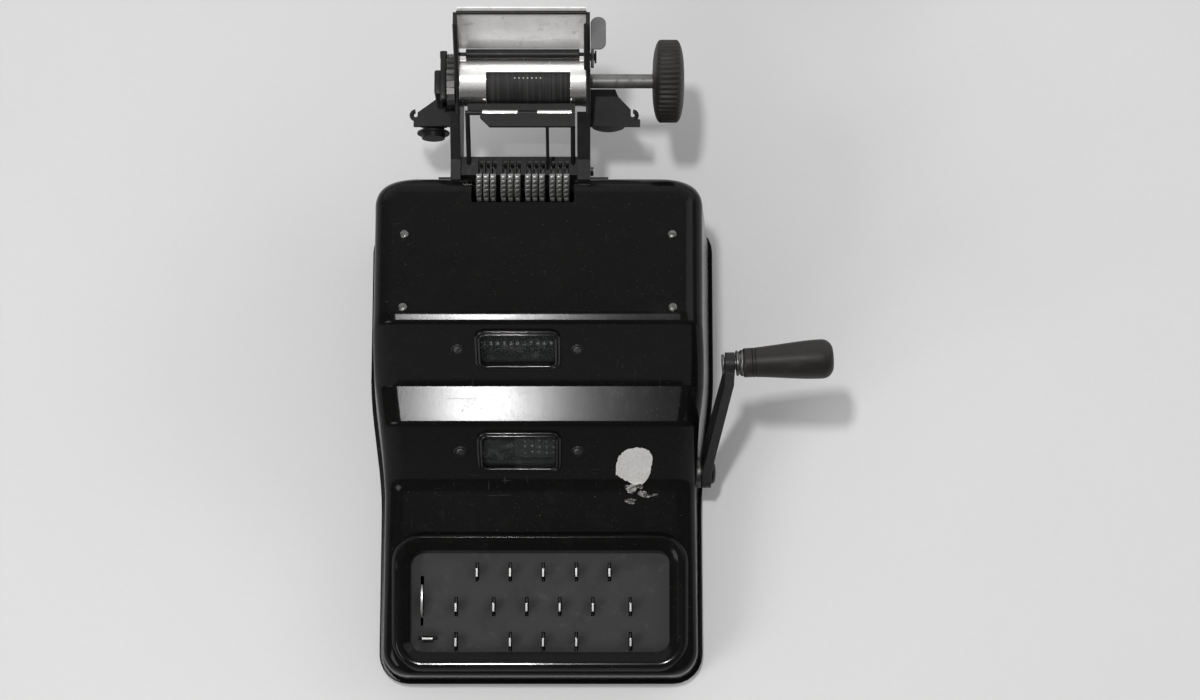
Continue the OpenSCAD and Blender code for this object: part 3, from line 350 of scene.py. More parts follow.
def floorFinish():
    made, s, p = newFinish("paleTable")
    cloud = noise(s, p, 3, 4, 0.6)
    grain = noise(s, p, 220, 5, 0.7)
    colour = blendColour(s, cloud * 0.6 + grain * 0.4, grey(0.57), grey(0.64))
    closeFinish(s, colour, 0.8, {"Specular IOR Level": 0.2}, grain, 0.1, 0.0004)
    return made


keyNames = ["key_%02d" % (i + 1) for i in range(16)] + ["correction_key", "repeat_lever"]
stems = [(sum(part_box(name), Vector()) / 2).to_2d() for name in keyNames]
finishes = {
    "black_enamel": enamelFinish("blackEnamel", 0.09),
    "bright_enamel": enamelFinish("brightEnamel", 0.4),
    "bead_enamel": enamelFinish("beadEnamel", 0.08, beadCrest),
    "grey_paint": greyPaintFinish("greyPaint", 0.017, 0.030, stems),
    "pad_paint": greyPaintFinish("padPaint", 0.09, 0.14),
    "nickel": metalFinish("wornNickel", 0.74, 0.9, 0.17, 0.3, (2, 14, 14), metal=0.62),
    "shield_nickel": metalFinish("shieldNickel", 0.86, 0.96, 0.15, 0.2, (2, 14, 14), dull=topOfShield),
    "type_tips": metalFinish("typeTips", 0.12, 0.24, 0.3, 0.5, (3, 12, 12), metal=0.7),
    "shaft_steel": metalFinish("shaftSteel", 0.1, 0.19, 0.44, 0.6, (3, 12, 12), metal=0.8),
    "steel": metalFinish("oiledSteel", 0.26, 0.42, 0.28, 0.6, (3, 12, 12)),
    "satin_nickel": metalFinish("satinNickel", 0.6, 0.95, 0.38, 0.45, (2, 14, 14), metal=0.45),
    # stem_nickel and type_steel: painted shade where the pieces lie deep
    "stem_nickel": metalFinish("stemNickel", 0.34, 0.54, 0.3, 0.4, (6, 6, 2), metal=0.8, shade=aboveDeck),
    "type_steel": metalFinish("typeSteel", 0.07, 0.15, 0.34, 0.6, (3, 12, 12), shade=farFromTypeShaft),
    "gun_steel": metalFinish("gunSteel", 0.07, 0.16, 0.34, 0.6, (3, 12, 12)),
    "dark_steel": darkSteelFinish(),
    "rubber": rubberFinish(),
    "platen": platenFinish(),
    "ebonite": eboniteFinish(),
    "glass": glassFinish(),
    "paper": paperFinish(),
    "numerals": numeralFinish("ivoryNumerals", 0.17, 0.27),
    "print_marks": numeralFinish("printMarks", 0.3, 0.45),
    "glue": glueFinish(),
    "floor": floorFinish(),
}
slotOf = {entry["node"]: entry["material_slot"] for entry in frame["record"]["subparts"]}
bodyOf = {name: body for body, names in frame["record"]["behaviour"]["bodies"].items() for name in names}
for name, node in nodes.items():
    node.data.materials.clear()
    node.data.materials.append(finishes[slotOf[name]])
print("finishes made:", len(finishes))


# Mesh helpers

standUp = Matrix.Rotation(-math.pi / 2, 4, "Y")  # turns a spun form's X axis upright


def quarter(steps):  # the angles of a quarter turn
    return [math.pi / 2 * i / steps for i in range(steps + 1)]


def newObject(name, data):
    made = bpy.data.objects.new(name, data)
    bpy.context.scene.collection.objects.link(made)
    return made


def meshOf(bm, name="form"):
    made = bpy.data.meshes.new(name)
    bm.to_mesh(made)
    bm.free()
    return made


def stamp(bm, form, matrix):  # adds one more copy of a mesh
    first = len(bm.verts)
    bm.from_mesh(form)
    bm.verts.ensure_lookup_table()
    bmesh.ops.transform(bm, matrix=matrix, verts=bm.verts[first:])


def showPiece(name, bm, slot, body, stands=(), finish=None, crease=34, weighted=False):
    piece = newObject(name, meshOf(bm, name))
    piece.data.materials.clear()
    piece.data.materials.append(finishes[finish or slot])
    piece.data.shade_smooth()
    piece.data.set_sharp_from_angle(angle=math.radians(crease))
    if weighted:
        normals = piece.modifiers.new("evenShading", "WEIGHTED_NORMAL")
        normals.keep_sharp, normals.weight = True, 60
    if body:  # a piece given no body is left unattached
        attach(piece, body)
    if stands:
        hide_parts(*stands)
    return piece


def spinX(bm, profile, place, steps=72):  # turns (radius, along) points about the local X axis
    rim = [bm.verts.new(place @ Vector((along, radius, 0))) for radius, along in profile]
    line = [bm.edges.new(pair) for pair in zip(rim, rim[1:])]
    axis = (place.to_3x3() @ Vector((1, 0, 0))).normalized()
    bmesh.ops.spin(bm, geom=rim + line, cent=place @ Vector(), axis=axis, angle=math.tau, steps=steps,
                   use_merge=True, use_duplicate=False)
    bmesh.ops.remove_doubles(bm, verts=bm.verts, dist=1e-7)
    bmesh.ops.recalc_face_normals(bm, faces=bm.faces)


def bevelEdges(bm, edges, width, segments):
    bmesh.ops.bevel(bm, geom=edges, offset=width, offset_type="OFFSET", segments=segments, profile=0.5,
                    affect="EDGES", clamp_overlap=True, material=-1)


def roundedBlock(width, length, low, high, radius, segments=8):  # a block with rounded upright edges
    bm = bmesh.new()
    made = bmesh.ops.create_cube(bm, size=1)["verts"]
    grow = Matrix.Translation((0, 0, (low + high) / 2)) @ Matrix.Diagonal((width, length, high - low, 1))
    bmesh.ops.transform(bm, matrix=grow, verts=made)
    upright = [e for e in bm.edges if (e.verts[0].co - e.verts[1].co).to_2d().length < 1e-6]
    bevelEdges(bm, upright, radius, segments)
    return bm


def softenEdges(bm, width, segments=2, angle=32):
    sharp = [e for e in bm.edges if e.is_manifold and e.calc_face_angle(0) > math.radians(angle)]
    bevelEdges(bm, sharp, width, segments)


def copyOfNode(name):
    bm = bmesh.new()
    bm.from_mesh(nodes[name].data)
    bmesh.ops.remove_doubles(bm, verts=bm.verts, dist=1e-6)
    bmesh.ops.dissolve_limit(bm, angle_limit=math.radians(0.3), verts=bm.verts, edges=bm.edges)
    return bm


def dressNode(name, edge, segments=2, finish=None):  # the CAD piece with its edges eased
    bm = copyOfNode(name)
    softenEdges(bm, edge * mm, segments)
    return showPiece(name + "_eased", bm, slotOf[name], bodyOf[name], [name], finish, weighted=True)


def tubeForm(points, radius, kind="POLY"):  # a round wire through points in millimetres
    wire = bpy.data.curves.new("wire", "CURVE")
    wire.dimensions, wire.bevel_depth, wire.bevel_resolution, wire.use_fill_caps = "3D", radius, 4, True
    run = wire.splines.new(kind)
    if kind == "BEZIER":
        run.bezier_points.add(len(points) - 1)
        for knot, point in zip(run.bezier_points, points):
            knot.co, knot.handle_left_type, knot.handle_right_type = point, "AUTO", "AUTO"
    else:
        run.points.add(len(points) - 1)
        for knot, point in zip(run.points, points):
            knot.co = (*point, 1)
    return meshFromCurve(wire)


def meshFromCurve(made):
    holder = newObject("curve", made)
    bpy.context.view_layer.update()
    form = bpy.data.meshes.new_from_object(holder.evaluated_get(bpy.context.evaluated_depsgraph_get()))
    bpy.data.objects.remove(holder)
    return form


def cutWith(piece, cutters):
    for number, cutter in enumerate(cutters):
        tool = newObject("cutter%d" % number, meshOf(cutter))
        cut = piece.modifiers.new("cut", "BOOLEAN")
        cut.operation, cut.solver, cut.object = "DIFFERENCE", "EXACT", tool
        bpy.context.view_layer.update()
        graph = bpy.context.evaluated_depsgraph_get()
        result = bpy.data.meshes.new_from_object(piece.evaluated_get(graph))
        piece.modifiers.clear()
        piece.data = result
        bpy.data.objects.remove(tool)


def placedBlock(block, place):
    bmesh.ops.transform(block, matrix=place, verts=block.verts)
    return block


# Case

roofCorners = [  # side view: depth, height and rounding of each corner
    (0, 40, 8), (121.5, 59.244, 12), (153.5, 100, 5), (178, 102, 1.2), (208.5, 149.3, 4), (214.5, 150, 12),
    (305.5, 141, 12),
]


def arcCorner(before, corner, after, radius, steps):
    toA, toB = (before - corner).normalized(), (after - corner).normalized()
    half = toA.angle(toB) / 2
    centre = corner + (toA + toB).normalized() * radius / math.sin(half)
    start = corner + toA * radius / math.tan(half) - centre
    end = corner + toB * radius / math.tan(half) - centre
    sweep = start.angle_signed(end)
    return [centre + Matrix.Rotation(-sweep * i / steps, 2) @ start for i in range(steps + 1)]


def roofLine():
    path = [Vector((0, case["foot"]))] + [Vector(c[:2]) for c in roofCorners]
    path.append(Vector((case["depth"], case["foot"])))
    line = []
    for i, c in enumerate(roofCorners):
        line += arcCorner(path[i], path[i + 1], path[i + 2], c[2], case["arcSteps"])
    return line


roof = roofLine()


def roofHeight(y):
    for a, b in zip(roof, roof[1:]):
        if a.x <= y <= b.x and b.x > a.x:
            return a.y + (b.y - a.y) * (y - a.x) / (b.x - a.x)
    return roof[0].y if y < roof[0].x else roof[-1].y


def planHalf(y):
    t = min(1, max(0, (y - case["flareFrom"]) / (case["flareTo"] - case["flareFrom"])))
    return (case["frontWidth"] + (case["rearWidth"] - case["frontWidth"]) * t * t * (3 - 2 * t)) / 2


def halfWidth(y):
    r, d = case["corner"], min(y, case["depth"] - y)
    return planHalf(y) - (0 if d >= r else r - math.sqrt(max(0, r * r - (r - d) ** 2)))


def caseSlice(y, wall, roofThick, drop):  # from the right foot over the roof to the left foot
    top, lean = roofHeight(y) - roofThick, math.tan(math.radians(case["lean"]))
    r = max(case["edgeLeast"], min(case["edge"], (roofHeight(y) - case["foot"]) * case["edgeShare"]) - wall)
    low = case["foot"] - drop
    foot = halfWidth(y) - wall + drop * lean
    shoulder = foot - (top - r - low) * lean
    turns = quarter(case["edgeSteps"])
    side = [(foot, low)] + [(shoulder - r + r * math.cos(t), top - r + r * math.sin(t)) for t in turns]
    return side + [(-x, z) for x, z in reversed(side)]


def caseDepths(inset):
    ends = [case["corner"] * (1 - math.cos(t)) for t in quarter(case["cornerSteps"])]
    flare = [case["flareFrom"] + case["flareStep"] * i
             for i in range(int((case["flareTo"] - case["flareFrom"]) / case["flareStep"]) + 1)]
    every = sorted([p.x for p in roof] + ends + [case["depth"] - d for d in ends] + flare)
    kept = [inset]
    for y in every:
        if y - kept[-1] > case["leastStep"] and case["depth"] - inset - y > case["leastStep"]:
            kept.append(y)
    return kept + [case["depth"] - inset]


def caseSolid(wall, roofThick, drop):
    bm = bmesh.new()
    rows, lines = [], []
    for y in caseDepths(wall):
        row = [bm.verts.new(at(x, y, z)) for x, z in caseSlice(y, wall, roofThick, drop)]
        line = [bm.edges.new(pair) for pair in zip(row, row[1:] + row[:1])]
        if lines:
            bmesh.ops.bridge_loops(bm, edges=lines[-1] + line)
        rows.append(row)
        lines.append(line)
    for row in (rows[0], rows[-1]):
        bmesh.ops.contextual_create(bm, geom=row)
    bmesh.ops.recalc_face_normals(bm, faces=bm.faces)
    return bm


def slopeAt(low, high, share):  # a window's middle on its slope, and the slope's angle
    run = Vector(high[:2]) - Vector(low[:2])
    return Vector(low[:2]) + run * share, math.degrees(math.atan2(run.y, run.x))


deckFrame = spot(*case["deckMid"], case["deckTilt"])
windowSize = {
    "x": -13, "lowerShare": 0.55, "upperShare": 0.58, "width": 54, "length": 34, "rim": 4, "step": 2,
    "gap": 0.2, "round": 3, "lip": 2.2, "depth": 6, "cut": (-12, 4),
    "innerRidge": (1.05, 1.55, 1.05, 180, 25), "outerRidge": (3.05, 1.0, 0.95, 150, 0),
}
lowerMiddle, lowerAngle = slopeAt(roofCorners[1], roofCorners[2], windowSize["lowerShare"])
upperMiddle, upperAngle = slopeAt(roofCorners[3], roofCorners[4], windowSize["upperShare"])
lowerSlope = spot(windowSize["x"], *lowerMiddle, lowerAngle)
upperSlope = spot(windowSize["x"], *upperMiddle, upperAngle)
wellSize = {
    "width": 167, "length": 65.6, "wall": 2, "gap": 0.2, "round": 8, "depth": 9, "cut": (-15, 6), "bead": 12,
    "beadRise": 4, "crest": 8.4, "skirt": [(0.15, -0.5), (-0.2, -1.4)], "steps": 10, "cornerSteps": 14,
}
notch = {"x": -10, "from": 287.5, "floor": 106, "width": 64.8, "length": 28, "height": 60, "round": 1.2}
crankAxis = {"y": 132, "z": 42, "bore": 10.2, "boreFrom": 60, "boreTo": 120}


def buildCase():
    shell = newObject("caseShell", meshOf(caseSolid(0, 0, 0)))
    cutters = [caseSolid(case["wall"], case["roof"], 1)]
    inset = 2 * (windowSize["gap"] - windowSize["step"])
    width, length = windowSize["width"] + inset, windowSize["length"] + inset
    cutters += [placedBlock(roundedBlock(width, length, *windowSize["cut"], windowSize["round"]), place)
                for place in (lowerSlope, upperSlope)]
    side = 2 * (wellSize["wall"] + wellSize["gap"])
    well = roundedBlock(wellSize["width"] + side, wellSize["length"] + side, *wellSize["cut"],
                        wellSize["round"] + side / 2)
    cutters.append(placedBlock(well, deckFrame))
    gap = roundedBlock(notch["width"], notch["length"], 0, notch["height"], notch["round"], 3)
    cutters.append(placedBlock(gap, spot(notch["x"], notch["from"] + notch["length"] / 2, notch["floor"])))
    bore = bmesh.new()
    r, a, b = crankAxis["bore"], crankAxis["boreFrom"], crankAxis["boreTo"]
    spinX(bore, [(0, a), (r, a), (r, b), (0, b)], spot(0, crankAxis["y"], crankAxis["z"]), 48)
    cutters.append(bore)
    cutWith(shell, cutters)
    done = bmesh.new()
    done.from_mesh(shell.data)
    bpy.data.objects.remove(shell)
    bmesh.ops.remove_doubles(done, verts=done.verts, dist=1e-6)
    showPiece("case_shell", done, "black_enamel", "chassis", ["case_cover"], crease=38, weighted=True)


def sweepRim(bm, width, length, radius, profile, place, steps=10):  # (outset, height) points, swept round
    rings = []
    for out, height in profile:
        ring = []
        for corner in range(4):
            sideX, sideY = (1, -1, -1, 1)[corner], (1, 1, -1, -1)[corner]
            for i in range(steps + 1):
                turn = math.pi / 2 * (corner + i / steps)
                ring.append(bm.verts.new(place @ Vector((
                    sideX * (width / 2 - radius) + (radius + out) * math.cos(turn),
                    sideY * (length / 2 - radius) + (radius + out) * math.sin(turn), height))))
        rings.append(ring)
    for first, second in zip(rings, rings[1:] + rings[:1]):
        for i in range(len(first)):
            bm.faces.new((first[i - 1], first[i], second[i], second[i - 1]))
    bmesh.ops.recalc_face_normals(bm, faces=bm.faces)


def ridge(out, height, radius, first, last, steps=10):  # a round ridge, from one angle to another
    turns = [math.radians(first + (last - first) * i / steps) for i in range(steps + 1)]
    return [(out + radius * math.cos(t), height + radius * math.sin(t)) for t in turns]


def buildRims():
    w = windowSize
    rim = [(0, -w["depth"])] + ridge(*w["innerRidge"]) + ridge(*w["outerRidge"])
    rim += [(w["rim"], 0), (w["lip"], 0), (w["lip"], -w["depth"])]
    bm = bmesh.new()
    for place in (lowerSlope, upperSlope):
        sweepRim(bm, w["width"] - 2 * w["rim"], w["length"] - 2 * w["rim"], w["round"], rim, place)
    showPiece("window_rims", bm, "black_enamel", "chassis", ["window_frames"], "bright_enamel", crease=50)
    k = wellSize
    crest, rise = k["crest"], k["beadRise"]
    turns = quarter(k["steps"])
    bead = [(0, -k["depth"])] + [(crest * t / (math.pi / 2), rise * math.sin(t)) for t in turns]
    bead += [(crest + (k["bead"] - crest) * t / (math.pi / 2), rise * math.cos(t)) for t in turns[1:]]
    bead += [(k["bead"] + out, height) for out, height in k["skirt"]]
    bead += [(k["wall"], k["skirt"][-1][1]), (k["wall"], -k["depth"])]
    well = bmesh.new()
    sweepRim(well, k["width"], k["length"], k["round"], bead, deckFrame, k["cornerSteps"])
    showPiece("key_bead", well, "black_enamel", "chassis", ["key_bezel"], "bead_enamel", crease=50)


buildCase()
buildRims()
dressNode("base_pan", 0.9, 3)
print("case built")


# Screws and feet

screwSize = {"head": 2.75, "dome": 1.6, "brim": 0.72, "slot": 0.7, "slotDepth": 0.8, "shank": 1.5,
             "length": 6.5}
screwPlaces = {"besideWindow": 37.5, "roofSide": 84, "roofDepths": (218, 266), "roofTilt": -5.65, "rear": 308,
               "rearSides": (-57, 37), "rearHeights": (72, 118)}
cupProfile = [(2.9, 0.05), (2.9, 0.5), (3.2, 0.95), (3.7, 1.0), (4.3, 0.6), (4.6, 0.05), (2.9, 0.05)]


def screwForm():
    s = screwSize
    rise = s["dome"] - s["brim"]
    dome = [(s["head"] * math.sin(t), s["brim"] + rise * math.cos(t)) for t in quarter(8)]
    bm = bmesh.new()
    spinX(bm, dome + [(s["head"], 0), (s["shank"], 0), (s["shank"], -s["length"]), (0, -s["length"])],
          Matrix.Identity(4), 40)
    piece = newObject("screwForm", meshOf(bm))
    slot = roundedBlock(2 * s["slotDepth"], 4 * s["head"], -s["slot"] / 2, s["slot"] / 2, 0.05, 1)
    bmesh.ops.transform(slot, matrix=Matrix.Translation((s["dome"], 0, 0)), verts=slot.verts)
    cutWith(piece, [slot])
    form = piece.data
    bpy.data.objects.remove(piece)
    return form


def buildScrews():
    form = screwForm()
    chance = random.Random(5)
    w = screwPlaces
    places = [slope @ Matrix.Translation((side * w["besideWindow"], 0, 0))
              for slope in (lowerSlope, upperSlope) for side in (-1, 1)]
    places += [spot(side * w["roofSide"], y, roofHeight(y), w["roofTilt"])
               for side in (-1, 1) for y in w["roofDepths"]]
    places += [spot(x, w["rear"], z, -90) for x in w["rearSides"] for z in w["rearHeights"]]
    bm = bmesh.new()
    for place in places:
        stamp(bm, form, place @ Matrix.Rotation(chance.uniform(0, math.pi), 4, "Z") @ standUp)
    showPiece("slotted_screws", bm, "nickel", "chassis", ["screws"], "gun_steel")
    cups = bmesh.new()
    for place in places[:4]:  # only beside the windows
        spinX(cups, cupProfile, place @ standUp, 40)
    showPiece("screw_cups", cups, "dark_steel", "chassis")


footSize = {"radius": 11, "height": 6, "edge": 1.4, "recess": [(4, 1.6), (4.5, 0.3), (5, 0)],
            "taper": [(0.4, 3.72), (0.6, 5.5), (0.9, 6)],
            "places": [(-79.5, 24), (79.5, 24), (-88, 281.5), (88, 281.5)]}


def buildFeet():
    f = footSize
    bm = bmesh.new()
    r, e = f["radius"], f["edge"]
    profile = [(0, f["recess"][0][1])] + f["recess"]
    profile += [(r - e + e * math.sin(t), e - e * math.cos(t)) for t in quarter(5)]
    profile += [(r - inset, height) for inset, height in f["taper"]] + [(0, f["height"])]
    for x, y in f["places"]:
        spinX(bm, profile, spot(x, y, 0) @ standUp, 48)
    showPiece("rubber_feet", bm, "rubber", "chassis", ["feet"])


buildScrews()
buildFeet()
print("screws and feet built")


# Keyboard

keyEdge = 0.22
dressNode("key_plate", keyEdge)
for name in keyNames:
    dressNode(name, keyEdge, 2, "stem_nickel")

springs = {"rows": [18.6] * 5 + [-3.8] * 6 + [-26.2] * 6, "width": 5, "front": 2.5, "back": 11, "bendTo": 6,
           "top": -26.55, "thick": 1, "cuts": 11, "slack": 0.1}


def buildSprings():  # a leaf under each key, reaching from the bar that holds it
    n = springs
    reach, middle = n["front"] + n["back"], (n["back"] - n["front"]) / 2
    cutter = bmesh.new()
    for key, stem, row in zip(keyNames, stems, n["rows"]):
        x = (stem.x - caseFront.x) / mm
        leaf = bmesh.new()
        made = bmesh.ops.create_cube(leaf, size=1)["verts"]
        bmesh.ops.transform(leaf, matrix=Matrix.Diagonal((n["width"], reach, n["thick"], 1)), verts=made)
        sides = [e for e in leaf.edges if abs(e.verts[0].co.y - e.verts[1].co.y) > 1]
        bmesh.ops.subdivide_edges(leaf, edges=sides, cuts=n["cuts"], use_grid_fill=True)
        centre = Matrix.Translation((x, row + middle, n["top"] - n["thick"] / 2))
        bmesh.ops.transform(leaf, matrix=deckFrame @ centre, verts=leaf.verts)
        piece = showPiece("spring_leaf_" + key, leaf, "steel", None)
        deckFrame @ Vector((x, row + n["back"], n["top"]))
        deckFrame @ Vector((x, row + n["bendTo"], n["top"]))
        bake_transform(piece)
        made = bmesh.ops.create_cube(cutter, size=1)["verts"]
        size = (n["width"] + 2 * n["slack"], reach + 2 * n["slack"], n["thick"] * 3, 1)
        grow = Matrix.Translation((0, -n["slack"], 0)) @ Matrix.Diagonal(size)
        bmesh.ops.transform(cutter, matrix=deckFrame @ centre @ grow, verts=made)
    comb = copyOfNode("key_spring_comb")
    bars = showPiece("key_spring_bars", comb, "steel", "chassis", ["key_spring_comb"])
    cutWith(bars, [cutter])


buildSprings()
print("keyboard built")


# Windows: numerals on the result wheels, pins on the index carriage

wheels = {"count": 11, "pitch": 4.2, "radius": 13, "drop": 19, "rise": 32, "size": 4.6, "narrow": 0.8,
          "proud": 0.05, "digitTurn": 36, "shown": "02741906358"}


def numeralForm(text, size):
    made = bpy.data.curves.new("numeral", "FONT")
    made.body, made.size, made.align_x, made.align_y = text, size, "CENTER", "CENTER"
    made.resolution_u = 2
    return meshFromCurve(made)


def buildNumerals():
    w = wheels
    forms = [numeralForm(str(digit), w["size"]) for digit in range(10)]
    bm = bmesh.new()
    lean = math.radians(upperAngle)
    middle = upperMiddle + w["drop"] * Vector((math.sin(lean), -math.cos(lean)))
    reach = w["radius"] + w["proud"]
    for wheel in range(w["count"]):
        along = windowSize["x"] + (wheel - (w["count"] - 1) / 2) * w["pitch"]
        for digit, form in enumerate(forms):
            step = digit - int(w["shown"][wheel])
            first = len(bm.verts)
            bm.from_mesh(form)
            bm.verts.ensure_lookup_table()
            for v in bm.verts[first:]:  # wraps the flat numeral round the wheel
                turn = lean + math.radians(90 - w["rise"] + w["digitTurn"] * step) - v.co.y / w["radius"]
                depth, height = middle + reach * Vector((math.cos(turn), math.sin(turn)))
                v.co = at(along + v.co.x * w["narrow"], depth, height)
    showPiece("wheel_numerals", bm, "black_enamel", "result_wheels", finish="numerals")


pins = {"columns": 9, "rows": 4, "pitch": 4.6, "rowPitch": 5, "radius": 0.9, "height": 1.7, "middle": 22,
        "floor": -8, "rounding": 0.3, "sunk": 0.4}


def buildPins():
    bm = bmesh.new()
    chance = random.Random(11)
    for column in range(pins["columns"]):
        for row in range(pins["rows"]):
            x = pins["middle"] + (column - (pins["columns"] - 1) / 2) * pins["pitch"]
            y = (row - (pins["rows"] - 1) / 2) * pins["rowPitch"]
            r, e, tall = pins["radius"], pins["rounding"], pins["height"] - chance.choice((0, 0, 1))
            place = lowerSlope @ Matrix.Translation((x, y, pins["floor"])) @ standUp
            spinX(bm, [(r, -pins["sunk"]), (r, tall - e), (r - e, tall), (0, tall)], place, 16)
    showPiece("index_pins", bm, "steel", "index_carriage", finish="gun_steel")


dressNode("result_wheels", 0.3, 2)
dressNode("index_carriage", 0.4)
dressNode("index_rails", 0.2, 2, "dark_steel")
buildNumerals()
buildPins()
print("register built")


# Crank

grip = {"length": 56, "bore": 4.2, "neck": 9, "neckEdge": [(-1.0, 0.0), (-0.2, 0.5), (0.1, 1.4)],
        "end": 12.25, "round": 7, "pivot": (119.018, 182.292, 149.851), "start": 8.123, "slant": 3,
        "steps": 26, "pin": 2.9, "pinDepth": 0.35, "lines": (6.5, 8.0), "lineDepth": 0.35}
ferruleProfile = [(4.06, -4.3), (7.2, -4.3), (7.9, -3.9), (8.0, -3.2), (7.3, -2.7), (7.2, -2.2), (7.6, -1.7),
                  (8.2, -1.0), (8.3, -0.4), (8.1, 0.0), (4.06, 0.0), (4.06, -4.3)]


def buildGrip():
    g = grip
    slant = Matrix.Rotation(math.radians(g["slant"]), 4, "Z")
    place = spot(*g["pivot"]) @ slant @ Matrix.Translation((g["start"], 0, 0))
    body = g["length"] - g["round"]
    profile = [(g["bore"], 0.0)] + [(g["neck"] + out, along) for out, along in g["neckEdge"]]
    for i in range(2, g["steps"] + 1):
        t = i / g["steps"]
        profile.append((g["neck"] + (g["end"] - g["neck"]) * t * t * (3 - 2 * t), body * t))
    r = g["round"]
    profile += [(g["end"] - r + r * math.cos(t), body + r * math.sin(t)) for t in quarter(10)[1:]]
    floor = g["length"] - g["pinDepth"]
    profile += [(g["pin"] + 0.3, g["length"]), (g["pin"], floor), (0, floor)]
    cut = g["lineDepth"]
    for along in g["lines"]:  # two turned lines beside the neck
        nearest = min(range(4, len(profile)), key=lambda i: abs(profile[i][1] - along))
        radius, line = profile[nearest]
        profile[nearest:nearest + 1] = [(radius, line - cut), (radius - cut, line), (radius, line + cut)]
    bm = bmesh.new()
    spinX(bm, profile, place, 80)
    showPiece("grip_turned", bm, "ebonite", "grip", ["crank_grip"], crease=40)
    ring = bmesh.new()
    spinX(ring, ferruleProfile, place, 72)
    showPiece("ferrule_turned", ring, "nickel", "grip", ["grip_ferrule"], "gun_steel", crease=40)


crankCap = {"x": 110.8, "profile": [
    (0, 3.4), (3.0, 3.35), (5.2, 3.05), (6.5, 2.45), (7.2, 1.5), (7.4, 0.6), (7.4, 0), (6.1, 0)]}


def buildCrankCap():
    bm = bmesh.new()
    spinX(bm, crankCap["profile"], spot(crankCap["x"], crankAxis["y"], crankAxis["z"]), 56)
    showPiece("crank_cap", bm, "steel", "crank", finish="dark_steel")


buildGrip()
buildCrankCap()
dressNode("crank_arm", 1.1, 3)
for name, edge in (("crank_bush", 0.5), ("crank_shaft", 0.4), ("grip_spindle", 0.4)):
    dressNode(name, edge, 2, "gun_steel")
print("crank built")


# Printer

for name, edge, finish in (("carriage_left_plate", 0.3, None), ("carriage_right_plate", 0.3, None),
                           ("type_comb", 0.25, None), ("type_bars", 0.25, "type_steel"),
                           ("platen_shield", 0.2, "shield_nickel"), ("platen_shaft", 0.3, "shaft_steel"),
                           ("paper_table", 0.25, "satin_nickel"),
                           ("ribbon_guide", 0.4, None), ("left_ribbon_bracket", 0.4, None),
                           ("right_ribbon_bracket", 0.4, None), ("ratchet_wheel", 0.25, "gun_steel"),
                           ("left_spool", 0.2, None), ("right_spool", 0.2, None)):
    dressNode(name, edge, 2, finish)

platen = {"radius": 14.5, "from": -47, "to": 27, "y": 366.5, "z": 144, "core": 4.5,
          "edge": [(0.8, 0), (0.2, 0.25), (0, 0.8)]}
knob = {"radius": 26.25, "width": 20, "start": 72, "shoulder": 20, "shoulderWide": 5, "flutes": 48,
        "depth": 0.7, "fluteFrom": 3.5, "fluteRun": 2.5, "bore": 4.5, "dish": 0.5}


def buildPlaten():
    p = platen
    bm = bmesh.new()
    r, a, b = p["radius"], p["from"], p["to"]
    profile = [(p["core"], a)] + [(r - inset, a + along) for inset, along in p["edge"]]
    profile += [(r - inset, b - along) for inset, along in reversed(p["edge"])]
    spinX(bm, profile + [(p["core"], b), (p["core"], a)], spot(0, p["y"], p["z"]), 96)
    showPiece("platen_rubber", bm, "rubber", "platen", ["platen_roller"], "platen")


def buildKnob():
    k = knob
    r, w, e, wide = k["radius"], k["width"], k["shoulder"], k["shoulderWide"]
    turns = quarter(9)
    profile = [(k["bore"], k["dish"]), (r - e - k["dish"], k["dish"]), (r - e, 0)]
    profile += [(r - e + e * math.sin(t), wide * (1 - math.cos(t))) for t in turns[1:]]
    profile += [(r, w * 0.5)]
    profile += [(r - e + e * math.cos(t), w - wide * (1 - math.sin(t))) for t in turns]
    profile += [(r - e - k["dish"], w - k["dish"]), (k["bore"], w - k["dish"])]
    bm = bmesh.new()
    place = spot(k["start"], platen["y"], platen["z"])
    spinX(bm, profile, place, k["flutes"] * 6)
    centre = place @ Vector()
    for v in bm.verts:  # presses the flutes into the rim
        out = Vector((0, v.co.y - centre.y, v.co.z - centre.z))
        share = max(0.0, min(1.0, (out.length / mm - r + k["fluteFrom"]) / k["fluteRun"]))
        wave = 0.5 + 0.5 * math.cos(k["flutes"] * math.atan2(out.z, out.y))
        v.co -= out.normalized() * (k["depth"] * mm * share * wave ** 2)
    showPiece("knob_fluted", bm, "ebonite", "platen", ["platen_knob"], crease=50)


typeSet = {"reach": 48, "rest": 118.5, "step": 3.4, "count": 6, "x": -10, "cluster": 15.4, "pitch": 4.4,
           "width": 2.6, "length": 2.1, "height": 0.75, "sunk": 0.3}


def buildSlugs():  # the raised type along the head of each bar
    t = typeSet
    block = roundedBlock(t["width"], t["length"], -t["sunk"], t["height"], 0.3, 2)
    softenEdges(block, 0.2, 2, 60)
    form = meshOf(block)
    bright, dull = bmesh.new(), bmesh.new()
    for cluster in (-1.5, -0.5, 0.5, 1.5):
        for bar in (-1, 0, 1):
            x = t["x"] + cluster * t["cluster"] + bar * t["pitch"]
            for slug in range(t["count"]):
                angle = t["rest"] + (slug - (t["count"] - 1) / 2) * t["step"]
                turn = math.radians(angle)
                y = typeShaft["y"] + t["reach"] * math.cos(turn)
                z = typeShaft["z"] + t["reach"] * math.sin(turn)
                place = spot(x, y, z, angle - 90)
                # the end slugs get the lighter type_tips finish, a painted highlight
                stamp(bright if slug in (0, t["count"] - 1) else dull, form, place)
    showPiece("type_slug_ends", bright, "steel", "type_bars", finish="type_tips")
    showPiece("type_slugs", dull, "steel", "type_bars", finish="gun_steel")


